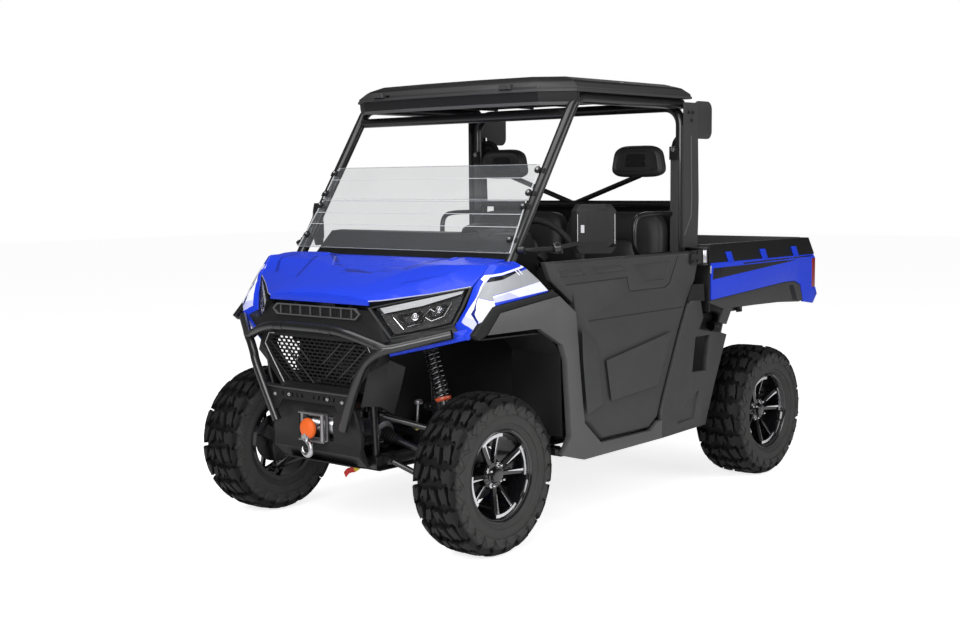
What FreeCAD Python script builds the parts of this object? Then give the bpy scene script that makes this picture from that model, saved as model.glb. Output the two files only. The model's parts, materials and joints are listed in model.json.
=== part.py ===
import FreeCAD, Part
import math
import os
from FreeCAD import Vector

# Side by side utility vehicle in millimetres. The nose points to -Y, the
# vehicle's left side is +X and +Z is up. Pieces are drawn about the middle of
# the wheelbase on the ground and moved along Y at the end.

# Overall layout
wheelbase = 2070.0
track_half = 660.0
belly_height = 320.0
body_half = 745.0
length_shift = -90.5
front_axle = -wheelbase / 2
rear_axle = wheelbase / 2

# Gaps and cutters
seat_gap = 0.3
moving_gap = 6.0
overrun = 5.0
seam_gap = 8.0

# Wheels
tyre_radius = 330.0
front_tyre_width = 230.0
rear_tyre_width = 270.0
rim_radius = 178.0
rim_width_front = 184.0
rim_width_rear = 210.0
rim_wall = 7.0
flange_height = 12.0
flange_width = 6.0
disc_radius = 110.0
disc_thickness = 5.0
disc_offset = -25.0
hub_radius = 46.0
hub_front = 70.0
spindle_radius = 20.0
spindle_fit = 0.05
spindle_end = 3.0
spoke_face = 72.0
spoke_depth = 14.0
spoke_pairs = 4
spoke_turn = 15.0

# Steering and suspension
kingpin_inset = 60.0
knuckle_half_height = 100.0
knuckle_thickness = 36.0
steer_arm = 80.0
rod_radius = 9.0
arm_tube = 12.0
arm_spread = 150.0
lower_pivot_rise = 40.0
lower_arm_pivot_z = belly_height + lower_pivot_rise
final_drive_rise = 105.0
final_drive_z = belly_height + final_drive_rise
prop_shaft_drop = 30.0
prop_shaft_z = final_drive_z - prop_shaft_drop
upper_arm_pivot_z = 540.0
shock_top_x = 375.0
shock_top_z = 826.0
shock_foot_x = 470.0
shock_eye_radius = 17.0
rear_shock_drop = 60.0
ball_radius = 15.0
joint_drop = 30.0
bush_half = 20.0
bush_radius = 19.0
damper_radius = 22.0
damper_rod_radius = 9.0
coil_radius = 36.0
coil_wire = 6.0
coil_turns = 9

# Frame
rail_size = 50.0
rail_offset = 230.0
skid_thickness = 6.0
frame_front = -1245.0
frame_rear = 1340.0
tower_height = 845.0
tower_offset = 205.0
post_radius = 17.0
bed_rail_offset = 330.0
bed_rail_top = 830.0
cross_size = 38.0
sill_tube_inset = 77.0
sill_tube_offset = body_half - sill_tube_inset
sill_tube_size = 34.0
shock_bar = 12.0
pad_half = 90.0
tab_height = 16.0
floor_thickness = 6.0

# Cab
cage_tube = 24.0
pillar_x = 640.0
cowl_y = -864.0
cowl_z = 1140.0
header_y = -433.0
header_z = 1801.0
roof_rail_z = 1860.0
rear_hoop_y = 425.0
rear_hoop_base = 376.0
cage_bend = 90.0
cladding_width = 66.0
cladding_thickness = 8.0


def block(x0, x1, y0, y1, z0, z1):
    return Part.makeBox(x1 - x0, y1 - y0, z1 - z0, Vector(x0, y0, z0))


def rod(start, end, radius):
    along = end - start
    return Part.makeCylinder(radius, along.Length, start, along)


def bent_tube(points, radius, bend):
    edges = []
    last = points[0]
    for before, corner, after in zip(points, points[1:], points[2:]):
        inward = (corner - before).normalize()
        outward = (after - corner).normalize()
        turn = inward.getAngle(outward)
        trim = bend * math.tan(turn / 2)
        enter = corner - inward * trim
        leave = corner + outward * trim
        inside = (outward - inward).normalize()
        centre = corner + inside * (bend / math.cos(turn / 2))
        edges.append(Part.LineSegment(last, enter).toShape())
        edges.append(Part.Arc(enter, centre - inside * bend, leave).toShape())
        last = leave
    edges.append(Part.LineSegment(last, points[-1]).toShape())
    section = Part.Wire(Part.makeCircle(radius, points[0], points[1] - points[0]))
    return Part.Wire(edges).makePipeShell([section], True, False)


def slab(axis, outline, low, high):
    if axis == "x":
        corners = [Vector(low, a, b) for a, b in outline]
        along = Vector(high - low, 0, 0)
    elif axis == "y":
        corners = [Vector(a, low, b) for a, b in outline]
        along = Vector(0, high - low, 0)
    else:
        corners = [Vector(a, b, low) for a, b in outline]
        along = Vector(0, 0, high - low)
    wire = Part.makePolygon(corners + corners[:1])
    return Part.Face(wire).extrude(along)


def spread(table, a0, a1, b0, b1):
    return [(a0 + u * (a1 - a0), b0 + v * (b1 - b0)) for u, v in table]


def sheet(rows, drop):
    rings = []
    for row in rows:
        points = row + [point + drop for point in reversed(row)]
        rings.append(Part.makePolygon(points + points[:1]))
    return Part.makeLoft(rings, True, True)


def facets(corners):
    a, b, c, d = corners
    flat = abs((b - a).cross(c - a).normalize().dot(d - a)) < 1e-6
    rings = [[a, b, c, d, a]] if flat else [[a, b, c, a], [a, c, d, a]]
    return [Part.Face(Part.makePolygon(ring)) for ring in rings]


def closed(faces):
    skin = Part.makeShell(faces)
    skin.sewShape()
    body = Part.makeSolid(skin)
    if body.Volume < 0:
        body.reverse()
    return body


def turned(profile, around=Vector(1, 0, 0)):
    wire = Part.makePolygon(profile + profile[:1])
    return Part.Face(wire).revolve(Vector(0, 0, 0), around, 360)


def mirrored(shape):
    return shape.mirror(Vector(0, 0, 0), Vector(1, 0, 0))


def pair(shape):
    return Part.makeCompound([shape, mirrored(shape)])


def fused(shapes):
    first = shapes[0]
    whole = first.fuse(shapes[1:]) if len(shapes) > 1 else first
    return whole.removeSplitter()


def solids_of(shape):
    return Part.makeCompound(shape.Solids)


# Wheels, drawn about the wheel's centre with the outside towards +X

tread_pitches = 12
tread_depth = 14.0
pitch_shares = (0.0, 0.46, 0.54, 0.92)
tread_share = [(0.86, 0.91, 1), (0.38, 0.995, 1), (0.28, 0.998, -1)]
shoulder_share = (0.97, 0.72)
sidewall_share = (1.00, 0.40)


def tyre_ring(step, turn, half, seat):
    high = step < 2
    edge_share = (pitch_shares[1] - pitch_shares[0]) / 2
    grow = 1 / math.cos(math.radians(360 / tread_pitches * edge_share))
    bore = rim_radius + seat_gap
    bead = bore + flange_height
    rise = tyre_radius - bore
    outline = []
    for side in (1, -1):
        wall = [(seat, bore), (seat, bead), (half * sidewall_share[0], bore + rise * sidewall_share[1])]
        up = high == (side > 0)
        x, v = shoulder_share
        wall.append((half * x - (0 if up else tread_depth / 2), bore + rise * v))
        for u, v, phase in tread_share:
            cut = 0 if up == (phase > 0) else tread_depth
            wall.append((half * u, bore + rise * v - cut))
        outline.append([(side * x, radius) for x, radius in wall])
    crown = [(0.0, tyre_radius - (0 if high else tread_depth))]
    spots = outline[0] + crown + outline[1][::-1]
    turn = math.radians(turn)
    return [Vector(x, grow * radius * math.sin(turn), -grow * radius * math.cos(turn)) for x, radius in spots]


def tyre(width, rim_width):
    pitch = 360 / tread_pitches
    start = pitch * (pitch_shares[0] + pitch_shares[1]) / 2
    rings = [tyre_ring(step, pitch * (number + share) - start, width / 2, rim_width / 2 - seat_gap)
             for number in range(tread_pitches) for step, share in enumerate(pitch_shares)]
    faces = []
    for near, far in zip(rings, rings[1:] + rings[:1]):
        for a, b, c, d in zip(near, near[1:] + near[:1], far[1:] + far[:1], far):
            faces += facets([a, b, c, d])
    return closed(faces)


def barrel(rim_width):
    half = rim_width / 2
    lip = rim_radius + flange_height
    inner = rim_radius - rim_wall
    outline = [(-half - flange_width, inner), (-half - flange_width, lip), (-half, lip), (-half, rim_radius)]
    outline += [(half, rim_radius), (half, lip), (half + flange_width, lip), (half + flange_width, inner)]
    return turned([Vector(x, 0, r) for x, r in outline])


spoke_root_share = 0.30
spoke_tip_share = 0.52
spoke_gap_share = 0.16


def spoke(side):
    inner = hub_radius * 0.8
    outer = rim_radius - rim_wall / 2
    root = hub_radius * spoke_root_share
    tip = hub_radius * spoke_tip_share
    gap = hub_radius * spoke_gap_share
    lean = side * hub_radius * 0.75
    corners = [(side * gap / 2, inner), (side * (gap / 2 + root), inner)]
    corners += [(lean + side * tip, outer), (lean, outer)]
    return slab("x", corners, spoke_face - spoke_depth, spoke_face)


def rim(rim_width):
    shape = [barrel(rim_width)]
    for number in range(spoke_pairs):
        for side in (-1, 1):
            arm = spoke(side)
            arm.rotate(Vector(0, 0, 0), Vector(1, 0, 0), 360 / spoke_pairs * number + spoke_turn)
            shape.append(arm.common(rod(Vector(0, 0, 0), Vector(rim_width, 0, 0), rim_radius - rim_wall / 2)))
    shape.append(rod(Vector(disc_offset, 0, 0), Vector(hub_front, 0, 0), hub_radius))
    shape.append(rod(Vector(disc_offset, 0, 0), Vector(disc_offset + disc_thickness, 0, 0), disc_radius))
    whole = fused(shape)
    bore_end = spindle_end + moving_gap / 2
    bore = rod(Vector(disc_offset - overrun, 0, 0), Vector(bore_end, 0, 0), spindle_radius + spindle_fit)
    return whole.cut(bore)


carrier_share = [(-0.35, -1.0), (0.35, -1.0), (0.5, -0.3), (0.5, 0.3), (0.35, 1.0), (-0.35, 1.0), (-0.5, 0.3), (-0.5, -0.3)]


def knuckle():
    face = disc_offset - moving_gap
    back = -kingpin_inset - 10.0
    outline = [(u * hub_radius * 2, v * knuckle_half_height) for u, v in carrier_share]
    plate = slab("x", outline, back, face)
    spindle = rod(Vector(face - 1.0, 0, 0), Vector(spindle_end, 0, 0), spindle_radius)
    caliper = caliper_block()
    return fused([plate, spindle, caliper])


def caliper_block():
    inner = disc_radius * 0.72
    outer = disc_radius * 1.16
    half = hub_radius * 0.6
    outside = disc_offset + disc_thickness + 12.0
    slot = block(disc_offset - moving_gap, disc_offset + disc_thickness + moving_gap, -half - overrun, half + overrun,
                 inner - overrun, disc_radius + moving_gap)
    body = block(disc_offset - 22.0, outside + moving_gap, -half, half, inner, outer)
    shape = body.cut(slot)
    shape.rotate(Vector(0, 0, 0), Vector(1, 0, 0), 60)
    foot = block(-kingpin_inset - 5.0, disc_offset - moving_gap, -half, half, 0, inner + 20.0)
    foot.rotate(Vector(0, 0, 0), Vector(1, 0, 0), 60)
    return fused([shape, foot])


def steering_arm():
    reach = steer_arm + 14.0
    outline = [(-16.0, 0.0), (16.0, 0.0), (12.0, reach), (-12.0, reach)]
    arm = slab("z", outline, 15.0, 27.0)
    arm.translate(Vector(-kingpin_inset, 0, 0))
    return arm


def wheel_nodes():
    nodes = {}
    for end, y, width, rim_width in (
        ("front", front_axle, front_tyre_width, rim_width_front),
        ("rear", rear_axle, rear_tyre_width, rim_width_rear),
    ):
        rubber = tyre(width, rim_width)
        metal = rim(rim_width)
        for shape in (rubber, metal):
            shape.translate(Vector(track_half, y, tyre_radius))
        nodes["tyre_" + end + "_left"] = rubber
        nodes["tyre_" + end + "_right"] = mirrored(rubber)
        nodes["rim_" + end + "_left"] = metal
        nodes["rim_" + end + "_right"] = mirrored(metal)
    return nodes


def knuckle_nodes():
    front = fused([knuckle(), steering_arm()])
    front.translate(Vector(track_half, front_axle, tyre_radius))
    rear = knuckle()
    rear.translate(Vector(track_half, rear_axle, tyre_radius))
    return {"knuckle_left": front, "knuckle_right": mirrored(front), "rear_knuckles": pair(rear)}


rack_half = 330.0
rack_z = 432.0
rod_end_rise = -6.0
rod_end_radius = 13.0
rack_radius = 16.0


def steering_rack():
    y = front_axle + steer_arm
    z = tyre_radius + rod_end_rise
    x = track_half - kingpin_inset
    bar = rod(Vector(-rack_half, y, rack_z), Vector(rack_half, y, rack_z), rack_radius)
    link = rod(Vector(rack_half - rack_radius, y, rack_z), Vector(x, y, z), rod_radius)
    eye = block_rod(x, y, z - rod_radius, z + rod_radius, rod_end_radius)
    return fused([bar, link, eye, mirrored(link), mirrored(eye)])


# Suspension arms, dampers, springs and shafts


def post_offset(y):
    reach = arm_spread + bush_half + seat_gap + post_radius
    return (y - reach, y + reach)


def post_x(y, z):
    base = belly_height + skid_thickness + rail_size
    top_x = tower_offset if y < 0 else bed_rail_offset
    top_z = tower_height if y < 0 else bed_rail_top - 20.0
    return rail_offset + (top_x - rail_offset) * (z - base) / (top_z - base)


def arm_height(y, x):
    inner_x = post_x(y, upper_arm_pivot_z)
    outer_z = tyre_radius + knuckle_half_height + joint_drop
    share = (x - inner_x) / (track_half - kingpin_inset - inner_x)
    return upper_arm_pivot_z + (outer_z - upper_arm_pivot_z) * share


def shock_foot(y):
    return arm_height(y, shock_foot_x) + arm_tube + seat_gap + shock_eye_radius


def arm_set(y, inner_x, inner_z, outer_z):
    outer_x = track_half - kingpin_inset
    legs = []
    for side in (-1, 1):
        start = Vector(inner_x, y + side * arm_spread, inner_z)
        end = Vector(outer_x, y + side * ball_radius / 3, outer_z)
        legs.append(rod(start, end, arm_tube))
        bush = Vector(0, bush_half, 0)
        legs.append(rod(start - bush, start + bush, bush_radius))
    toward = 1 if outer_z < tyre_radius else -1
    reach = joint_drop - seat_gap
    tip = block_rod(outer_x, y, outer_z - toward * arm_tube, outer_z + toward * reach, ball_radius)
    legs.append(tip)
    if toward < 0:
        legs.append(shock_seat(y, inner_x, outer_x))
    return fused(legs)


def block_rod(x, y, z0, z1, radius):
    return rod(Vector(x, y, z0), Vector(x, y, z1), radius)


def shock_seat(y, inner_x, outer_x):
    share = (shock_foot_x - inner_x) / (outer_x - inner_x)
    half = arm_spread * (1 - share) + arm_tube / 2
    z = arm_height(y, shock_foot_x)
    return rod(Vector(shock_foot_x, y - half, z), Vector(shock_foot_x, y + half, z), arm_tube)


def control_arms():
    low = tyre_radius - knuckle_half_height - joint_drop
    high = tyre_radius + knuckle_half_height + joint_drop
    lower_pivot_x = rail_offset + rail_size / 2 + seat_gap + bush_radius
    arms = []
    for y in (front_axle, rear_axle):
        arms.append(arm_set(y, lower_pivot_x, lower_arm_pivot_z, low))
        arms.append(arm_set(y, post_x(y, upper_arm_pivot_z), upper_arm_pivot_z, high))
    one_side = Part.makeCompound(arms)
    return pair(one_side)


def shock_line(y):
    drop = rear_shock_drop if y > 0 else 0.0
    top = Vector(shock_top_x, y, shock_top_z - drop)
    foot = Vector(shock_foot_x, y, shock_foot(y))
    return top, foot


def shock_absorbers():
    out = []
    for y in (front_axle, rear_axle):
        top, foot = shock_line(y)
        along = foot - top
        body = rod(top + along * 0.40, foot, damper_radius)
        shaft = rod(top, top + along * 0.42, damper_rod_radius)
        cap = rod(top + along * 0.035, top + along * 0.055, coil_radius)
        seat = rod(top + along * 0.58, top + along * 0.60, coil_radius)
        eye = rod(top - Vector(0, 18.0, 0), top + Vector(0, 18.0, 0), shock_eye_radius)
        low_eye = rod(foot - Vector(0, 18.0, 0), foot + Vector(0, 18.0, 0), shock_eye_radius)
        out.append(fused([body, shaft, cap, seat, eye, low_eye]))
    return pair(Part.makeCompound(out))


def coil_springs():
    out = []
    for y in (front_axle, rear_axle):
        top, foot = shock_line(y)
        along = foot - top
        length = along.Length * (0.58 - 0.055) - 2 * seat_gap
        outer = rod(Vector(0, 0, 0), Vector(0, 0, length), coil_radius)
        inner = rod(Vector(0, 0, -overrun), Vector(0, 0, length + overrun), damper_radius + 1.0)
        sleeve = outer.cut(inner)
        sleeve.Placement = FreeCAD.Placement(top + along * 0.055 + along.normalize() * seat_gap,
                                             FreeCAD.Rotation(Vector(0, 0, 1), along))
        out.append(sleeve)
    return pair(Part.makeCompound(out))


shaft_radius = 13.0
boot_radius = 36.0
engine_front = 480.0
diff_half = 95.0


def half_shafts():
    out = []
    outer_x = track_half - kingpin_inset - 46.0
    for y in (front_axle, rear_axle):
        inner = Vector(diff_half - overrun, y, final_drive_z)
        outer = Vector(outer_x, y, tyre_radius)
        along = (outer - inner).normalize()
        shaft = rod(inner, outer, shaft_radius)
        first = Part.makeCone(boot_radius, shaft_radius * 1.3, boot_radius * 2, inner, along)
        last = Part.makeCone(shaft_radius * 1.3, boot_radius, boot_radius * 2, outer - along * boot_radius * 2, along)
        whole = fused([shaft, first, last])
        housing = block(0, diff_half + seat_gap, y - boot_radius * 2, y + boot_radius * 2, 0, bed_rail_top)
        out.append(whole.cut(housing))
    return pair(Part.makeCompound(out))


def front_differential():
    y = front_axle
    body = rod(Vector(-diff_half, y, final_drive_z), Vector(diff_half, y, final_drive_z), boot_radius * 1.6)
    nose = rod(Vector(0, y, prop_shaft_z), Vector(0, y + boot_radius * 1.55, prop_shaft_z), boot_radius)
    shaft = rod(Vector(0, y, prop_shaft_z), Vector(0, engine_front - seat_gap, prop_shaft_z), shaft_radius)
    return fused([body, nose, shaft])


# Chassis


cross_stations = (-860.0, -560.0, -60.0, 330.0, 905.0)
outrigger_stations = (-560.0, -60.0, 405.0)
tab_stations = (-500.0, 60.0, 405.0)
engine_mount_y = 600.0
clamp_half = 24.0


def frame_bars(grow):
    low = belly_height + skid_thickness
    top = low + rail_size
    half = rail_size / 2
    between = rail_offset - half - seat_gap
    sill_half = sill_tube_size / 2
    pad = (pad_half - boot_radius) / 2
    middle = boot_radius + pad
    mount_y = front_axle - cross_size - seat_gap
    rack_y = front_axle + steer_arm
    crosses = [frame_front, *cross_stations, frame_rear - cross_size, engine_mount_y, mount_y]
    boxes = [(0.0, between, y, y + cross_size, low, low + cross_size) for y in sorted(crosses)]
    arm_start = rail_offset + half + seat_gap
    arm_reach = (sill_tube_offset - sill_half - seat_gap - arm_start) / 2
    tab_start = sill_tube_offset + sill_half + seat_gap
    tab_reach = (panel_inner - seat_gap - tab_start) / 2
    for side in (-1, 1):
        rail = side * rail_offset
        boxes.append((rail, half, frame_front, frame_rear, low, top))
        boxes.append((rail, clamp_half, rack_y - clamp_half, rack_y + clamp_half, top + seat_gap, rack_z + clamp_half))
        sill_rear = outrigger_stations[-1] + cross_size
        boxes.append((side * sill_tube_offset, sill_half, outrigger_stations[0], sill_rear, low, low + sill_tube_size))
        for y in outrigger_stations:
            boxes.append((side * (arm_start + arm_reach), arm_reach, y, y + cross_size, low, low + cross_size))
        for y in tab_stations:
            boxes.append((side * (tab_start + tab_reach), tab_reach, y, y + cross_size, low, low + tab_height))
        for y, pad_top in ((engine_mount_y, engine_bottom), (mount_y, final_drive_z - boot_radius * 1.6)):
            pad_base = low + cross_size + seat_gap
            boxes.append((side * middle, pad - overrun / 2, y, y + cross_size, pad_base, pad_top - seat_gap))
    return [block(x - reach - grow, x + reach + grow, y0 - grow, y1 + grow, z0 - grow, z1 + grow)
            for x, reach, y0, y1, z0, z1 in boxes]


def chassis_frame():
    bore = across(-body_half, body_half, front_axle + steer_arm, rack_z, rack_radius + spindle_fit)
    return Part.makeCompound([solids_of(bar.cut(bore)) for bar in frame_bars(0.0)])


def frame_towers():
    top = belly_height + skid_thickness + rail_size
    room = fused(frame_bars(seat_gap))
    return Part.makeCompound([fused(front_tower(top)).cut(room), fused(rear_tower(top)).cut(room)])


tray_half = 232.0
tray_thickness = 12.0
tray_rear = -1180.0


def front_tower(base):
    parts = []
    for side in (-1, 1):
        for y in post_offset(front_axle):
            parts.append(rod(Vector(side * rail_offset, y, base - 10.0), Vector(side * tower_offset, y, tower_height), post_radius))
        front = Vector(side * tower_offset, nose_front + nose_depth + seat_gap + shock_bar, tower_height)
        parts.append(rod(front, Vector(side * tower_offset, -610.0, tower_height), post_radius))
        start = Vector(side * 610.0, -541.0, base - 30.0)
        knee = Vector(side * 610.0, -590.0, 900.0)
        foot = Vector(side * pillar_x, cowl_y, cowl_z)
        parts.append(bent_tube([start, knee, foot], 19.0, 60.0))
    parts.append(rod(Vector(-tower_offset, front_axle, tower_height), Vector(tower_offset, front_axle, tower_height), 15.0))
    bar_z = shock_top_z + shock_eye_radius + seat_gap + shock_bar
    reach = shock_top_x + 30.0
    parts.append(rod(Vector(-reach, front_axle, bar_z), Vector(reach, front_axle, bar_z), shock_bar))
    parts.append(rod(Vector(-600.0, -610.0, 860.0), Vector(600.0, -610.0, 860.0), 16.0))
    parts.append(rod(Vector(-pillar_x, cowl_y + 20.0, cowl_z - 24.0), Vector(pillar_x, cowl_y + 20.0, cowl_z - 24.0), 16.0))
    dash_front_base = spread(dash_share, dash_front, dash_rear, dash_base, dash_top)[0][1]
    for x in (-400.0, 400.0):
        parts.append(block(x - 20.0, x + 20.0, cowl_y + 8.0, cowl_y + 32.0, cowl_z - 24.0, dash_front_base - seat_gap))
    bar_y = nose_front + nose_depth + seat_gap + shock_bar
    nose_bar_z = tower_height + 20.0
    parts.append(rod(Vector(-360.0, bar_y, nose_bar_z), Vector(360.0, bar_y, nose_bar_z), shock_bar))
    for x in (-330.0, 330.0):
        parts.append(block(x - 30.0, x + 30.0, nose_front + nose_depth + seat_gap, bar_y, nose_bar_z - 8.0, nose_bar_z + 8.0))
    tray_top = winch_z - winch_radius - seat_gap
    parts.append(block(-tray_half, tray_half, bumper_y + bumper_thickness + seat_gap, tray_rear, tray_top - tray_thickness, tray_top))
    return parts


def rear_tower(base):
    parts = []
    before, behind = post_offset(rear_axle)
    for side in (-1, 1):
        for y in (540.0, before, behind, frame_rear - post_radius):
            parts.append(rod(Vector(side * rail_offset, y, base - 10.0), Vector(side * bed_rail_offset, y, bed_rail_top - 20.0), post_radius))
        x = side * bed_rail_offset
        parts.append(block(x - 20.0, x + 20.0, wall_y + wall_thickness + seat_gap, pivot_y + 25.0, bed_rail_top - 40.0, bed_rail_top))
        parts.append(block(x - 15.0, x + 15.0, rest_y - 15.0, rest_y + 15.0, bed_rail_top, bed_floor - 26.0 - seat_gap))
        parts.append(rod(Vector(x, pivot_y, pivot_z), Vector(side * (ear_inner + ear_thickness + 4.0), pivot_y, pivot_z), pivot_pin))
    bar_z = shock_top_z - rear_shock_drop + shock_eye_radius + seat_gap + shock_bar
    reach = shock_top_x + 30.0
    parts.append(rod(Vector(-reach, rear_axle, bar_z), Vector(reach, rear_axle, bar_z), shock_bar))
    for y in (540.0, frame_rear - post_radius):
        parts.append(rod(Vector(-bed_rail_offset, y, bed_rail_top - 20.0), Vector(bed_rail_offset, y, bed_rail_top - 20.0), post_radius))
    return parts


# Engine and silencer

engine_length = 380.0
engine_half = 185.0
engine_clearance = 62.0
engine_bottom = belly_height + engine_clearance
engine_top = 760.0
gearbox_neck = 45.0


def engine_block():
    z = final_drive_z
    body = block(-engine_half, engine_half, engine_front, engine_front + engine_length, engine_bottom, engine_top)
    neck_base = belly_height + skid_thickness + cross_size + overrun
    neck = block(-gearbox_neck, gearbox_neck, engine_front + engine_length - overrun, rear_axle, neck_base, z + gearbox_neck)
    box = rod(Vector(-diff_half, rear_axle, z), Vector(diff_half, rear_axle, z), boot_radius * 1.6)
    return fused([body, neck, box])


silencer_radius = 75.0
silencer_half = 170.0
silencer_y = 1235.0
silencer_z = 700.0
tail_pipe_radius = 22.0


def muffler():
    can = rod(Vector(-silencer_half, silencer_y, silencer_z), Vector(silencer_half, silencer_y, silencer_z), silencer_radius)
    can = can.makeFillet(silencer_radius * 0.25, can.Edges[:1] + can.Edges[2:])
    pipe = bent_tube([Vector(silencer_half * 0.6, silencer_y, silencer_z), Vector(silencer_half * 0.6, silencer_y + 130.0, silencer_z),
                      Vector(silencer_half * 0.6, silencer_y + 190.0, silencer_z - 40.0)], tail_pipe_radius, 50.0)
    feed = rod(Vector(-silencer_half * 0.4, engine_front + engine_length + seat_gap, silencer_z),
               Vector(-silencer_half * 0.4, silencer_y, silencer_z), tail_pipe_radius)
    return fused([can, pipe, feed])


# Skid plates, floor and rear wall

skid_half = 300.0
skid_nose_y = -1345.0
skid_nose_rise = 25.0


def skid_plates():
    flat = block(-skid_half, skid_half, frame_front, frame_rear, belly_height, belly_height + skid_thickness)
    outline = [(frame_front, belly_height), (skid_nose_y, belly_height + skid_nose_rise),
               (skid_nose_y, belly_height + skid_nose_rise + skid_thickness), (frame_front, belly_height + skid_thickness)]
    nose = slab("x", outline, -skid_half * 0.75, skid_half * 0.75)
    cut = engine_half * 0.5
    drain = block(-cut, cut, engine_front, engine_front + engine_length * 0.6, belly_height - overrun, belly_height + skid_thickness + overrun)
    return fused([flat, nose]).cut(drain)


floor_front = -575.0
floor_rear = 415.0
floor_inset = 90.0
floor_half = body_half - floor_inset
toe_height = 840.0
toe_slope = 60.0


def floor_level():
    return belly_height + skid_thickness + rail_size


tunnel_half = 48.0
tunnel_rise = 108.0
tunnel_top = belly_height + tunnel_rise
tunnel_wall = 5.0


def tunnel(grow, y0, y1):
    half = tunnel_half - tunnel_wall + grow
    return block(-half, half, y0, y1, belly_height, tunnel_top - tunnel_wall + grow)


def cab_floor():
    base = floor_level()
    pan = block(-floor_half, floor_half, floor_front, floor_rear, base, base + floor_thickness)
    toe = slab("x", [(floor_front, base), (floor_front + toe_slope, base + floor_thickness), (floor_front + floor_thickness, toe_height),
                     (floor_front, toe_height)], -floor_half + 90.0, floor_half - 90.0)
    cover = tunnel(tunnel_wall, floor_front, floor_rear).common(block(-floor_half, floor_half, floor_front, floor_rear, base, toe_height))
    whole = fused([pan, toe, cover]).cut(tunnel(0.0, floor_front - overrun, floor_rear + overrun))
    return whole.cut(chassis_frame()).cut(frame_towers())


wall_y = 500.0
wall_thickness = 12.0
wall_half = 600.0
wall_base = 772.0
wall_top = 1372.0


def rear_wall():
    return block(-wall_half, wall_half, wall_y, wall_y + wall_thickness, wall_base, wall_top)


# Seats

seat_half = 590.0
seat_front = -130.0
seat_box_rear = 400.0
seat_box_top = 690.0
cushion_height = 120.0
cushion_gap = 16.0
back_thickness = 90.0
back_top = 1350.0
back_lean = 60.0


def seat_box():
    base = floor_level() + floor_thickness
    box = block(-seat_half, seat_half, seat_front + 50.0, seat_box_rear, base, seat_box_top)
    return box.cut(tunnel(tunnel_wall + seat_gap, seat_front, seat_box_rear + overrun))


def seat_cushions():
    base = seat_box_top + seat_gap
    left = block(cushion_gap / 2, seat_half, seat_front, seat_box_rear - back_thickness - 20.0, base, base + cushion_height)
    left = left.makeFillet(22.0, [e for e in left.Edges if e.BoundBox.ZMin > base + 1.0])
    return pair(left)


def seat_backs():
    base = seat_box_top + seat_gap
    front = seat_box_rear - back_thickness - 10.0
    outline = [(front, base), (front + back_thickness, base), (front + back_thickness + back_lean, back_top), (front + back_lean, back_top)]
    left = slab("x", outline, cushion_gap / 2, seat_half)
    left = left.makeFillet(20.0, [e for e in left.Edges if e.BoundBox.YMax < front + back_lean + 1.0 and e.BoundBox.ZLength > 1.0 or e.BoundBox.ZMin > back_top - 1.0])
    return pair(left)


headrest_x = 425.0
headrest_y = 385.0
headrest_z = 1595.0
headrest_width = 285.0
headrest_height = 148.0
headrest_depth = 60.0


def headrests():
    half = headrest_width / 2
    left = block(headrest_x - half, headrest_x + half, headrest_y - headrest_depth / 2, headrest_y + headrest_depth / 2,
                 headrest_z - headrest_height / 2, headrest_z + headrest_height / 2)
    left = left.makeFillet(headrest_depth * 0.4, left.Edges)
    return pair(left)


seat_tube = 13.0
back_bar_z = 1390.0
hip_x = 615.0
hip_top = 1348.0


def seat_tubes():
    bar_y = headrest_y + headrest_depth / 2 + seat_gap + seat_tube
    arm = bent_tube([Vector(0, bar_y, back_bar_z), Vector(headrest_x, bar_y, headrest_z - 60.0), Vector(headrest_x, bar_y, headrest_z)], seat_tube, 40.0)
    return fused([arm, mirrored(arm)]).cut(cage_rear())


belt_width = 46.0
belt_thickness = 4.0
belt_x = 623.0
belt_top = 1640.0


def seat_belts():
    y = rear_hoop_y - cage_tube - seat_gap - belt_thickness
    strap = block(belt_x - belt_width / 2, belt_x + belt_width / 2, y, y + belt_thickness, seat_box_top, belt_top)
    return pair(strap)


# Dashboard and steering wheel

dash_half = 582.0
dash_front = -872.0
dash_rear = -590.0
dash_base = 900.0
dash_top = 1285.0
dash_share = [(0.0, 0.68), (0.0, 0.72), (0.25, 0.73), (0.62, 0.99), (0.84, 1.0), (1.0, 0.76), (0.97, 0.25), (0.80, 0.0), (0.66, 0.0), (0.62, 0.40), (0.40, 0.68)]

wheel_centre = Vector(330.0, -215.0, 1165.0)
wheel_tilt = 25.0
column_length = 430.0
sleeve_start = 200.0
wheel_ring = 178.0
wheel_grip = 15.0
grip_sides = 8
column_radius = 13.0
column_sleeve = 26.0


def column_direction():
    tilt = math.radians(wheel_tilt)
    return Vector(0, math.cos(tilt), math.sin(tilt))


def dashboard():
    axis = column_direction()
    body = slab("x", spread(dash_share, dash_front, dash_rear, dash_base, dash_top), -dash_half, dash_half)
    sleeve = rod(wheel_centre - axis * (column_length + overrun), wheel_centre - axis * sleeve_start, column_sleeve)
    bore = rod(wheel_centre - axis * (column_length + overrun / 2), wheel_centre, column_radius + spindle_fit)
    return fused([body, sleeve]).cut(bore)


def grip_ring(axis):
    side = Vector(1, 0, 0)
    points = []
    for number in range(grip_sides):
        turn = math.radians(360.0 / grip_sides * number)
        points.append(wheel_centre + side * (wheel_ring + wheel_grip * math.cos(turn)) + axis * (wheel_grip * math.sin(turn)))
    section = Part.Face(Part.makePolygon(points + points[:1]))
    return section.revolve(wheel_centre, axis, 360)


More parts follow.
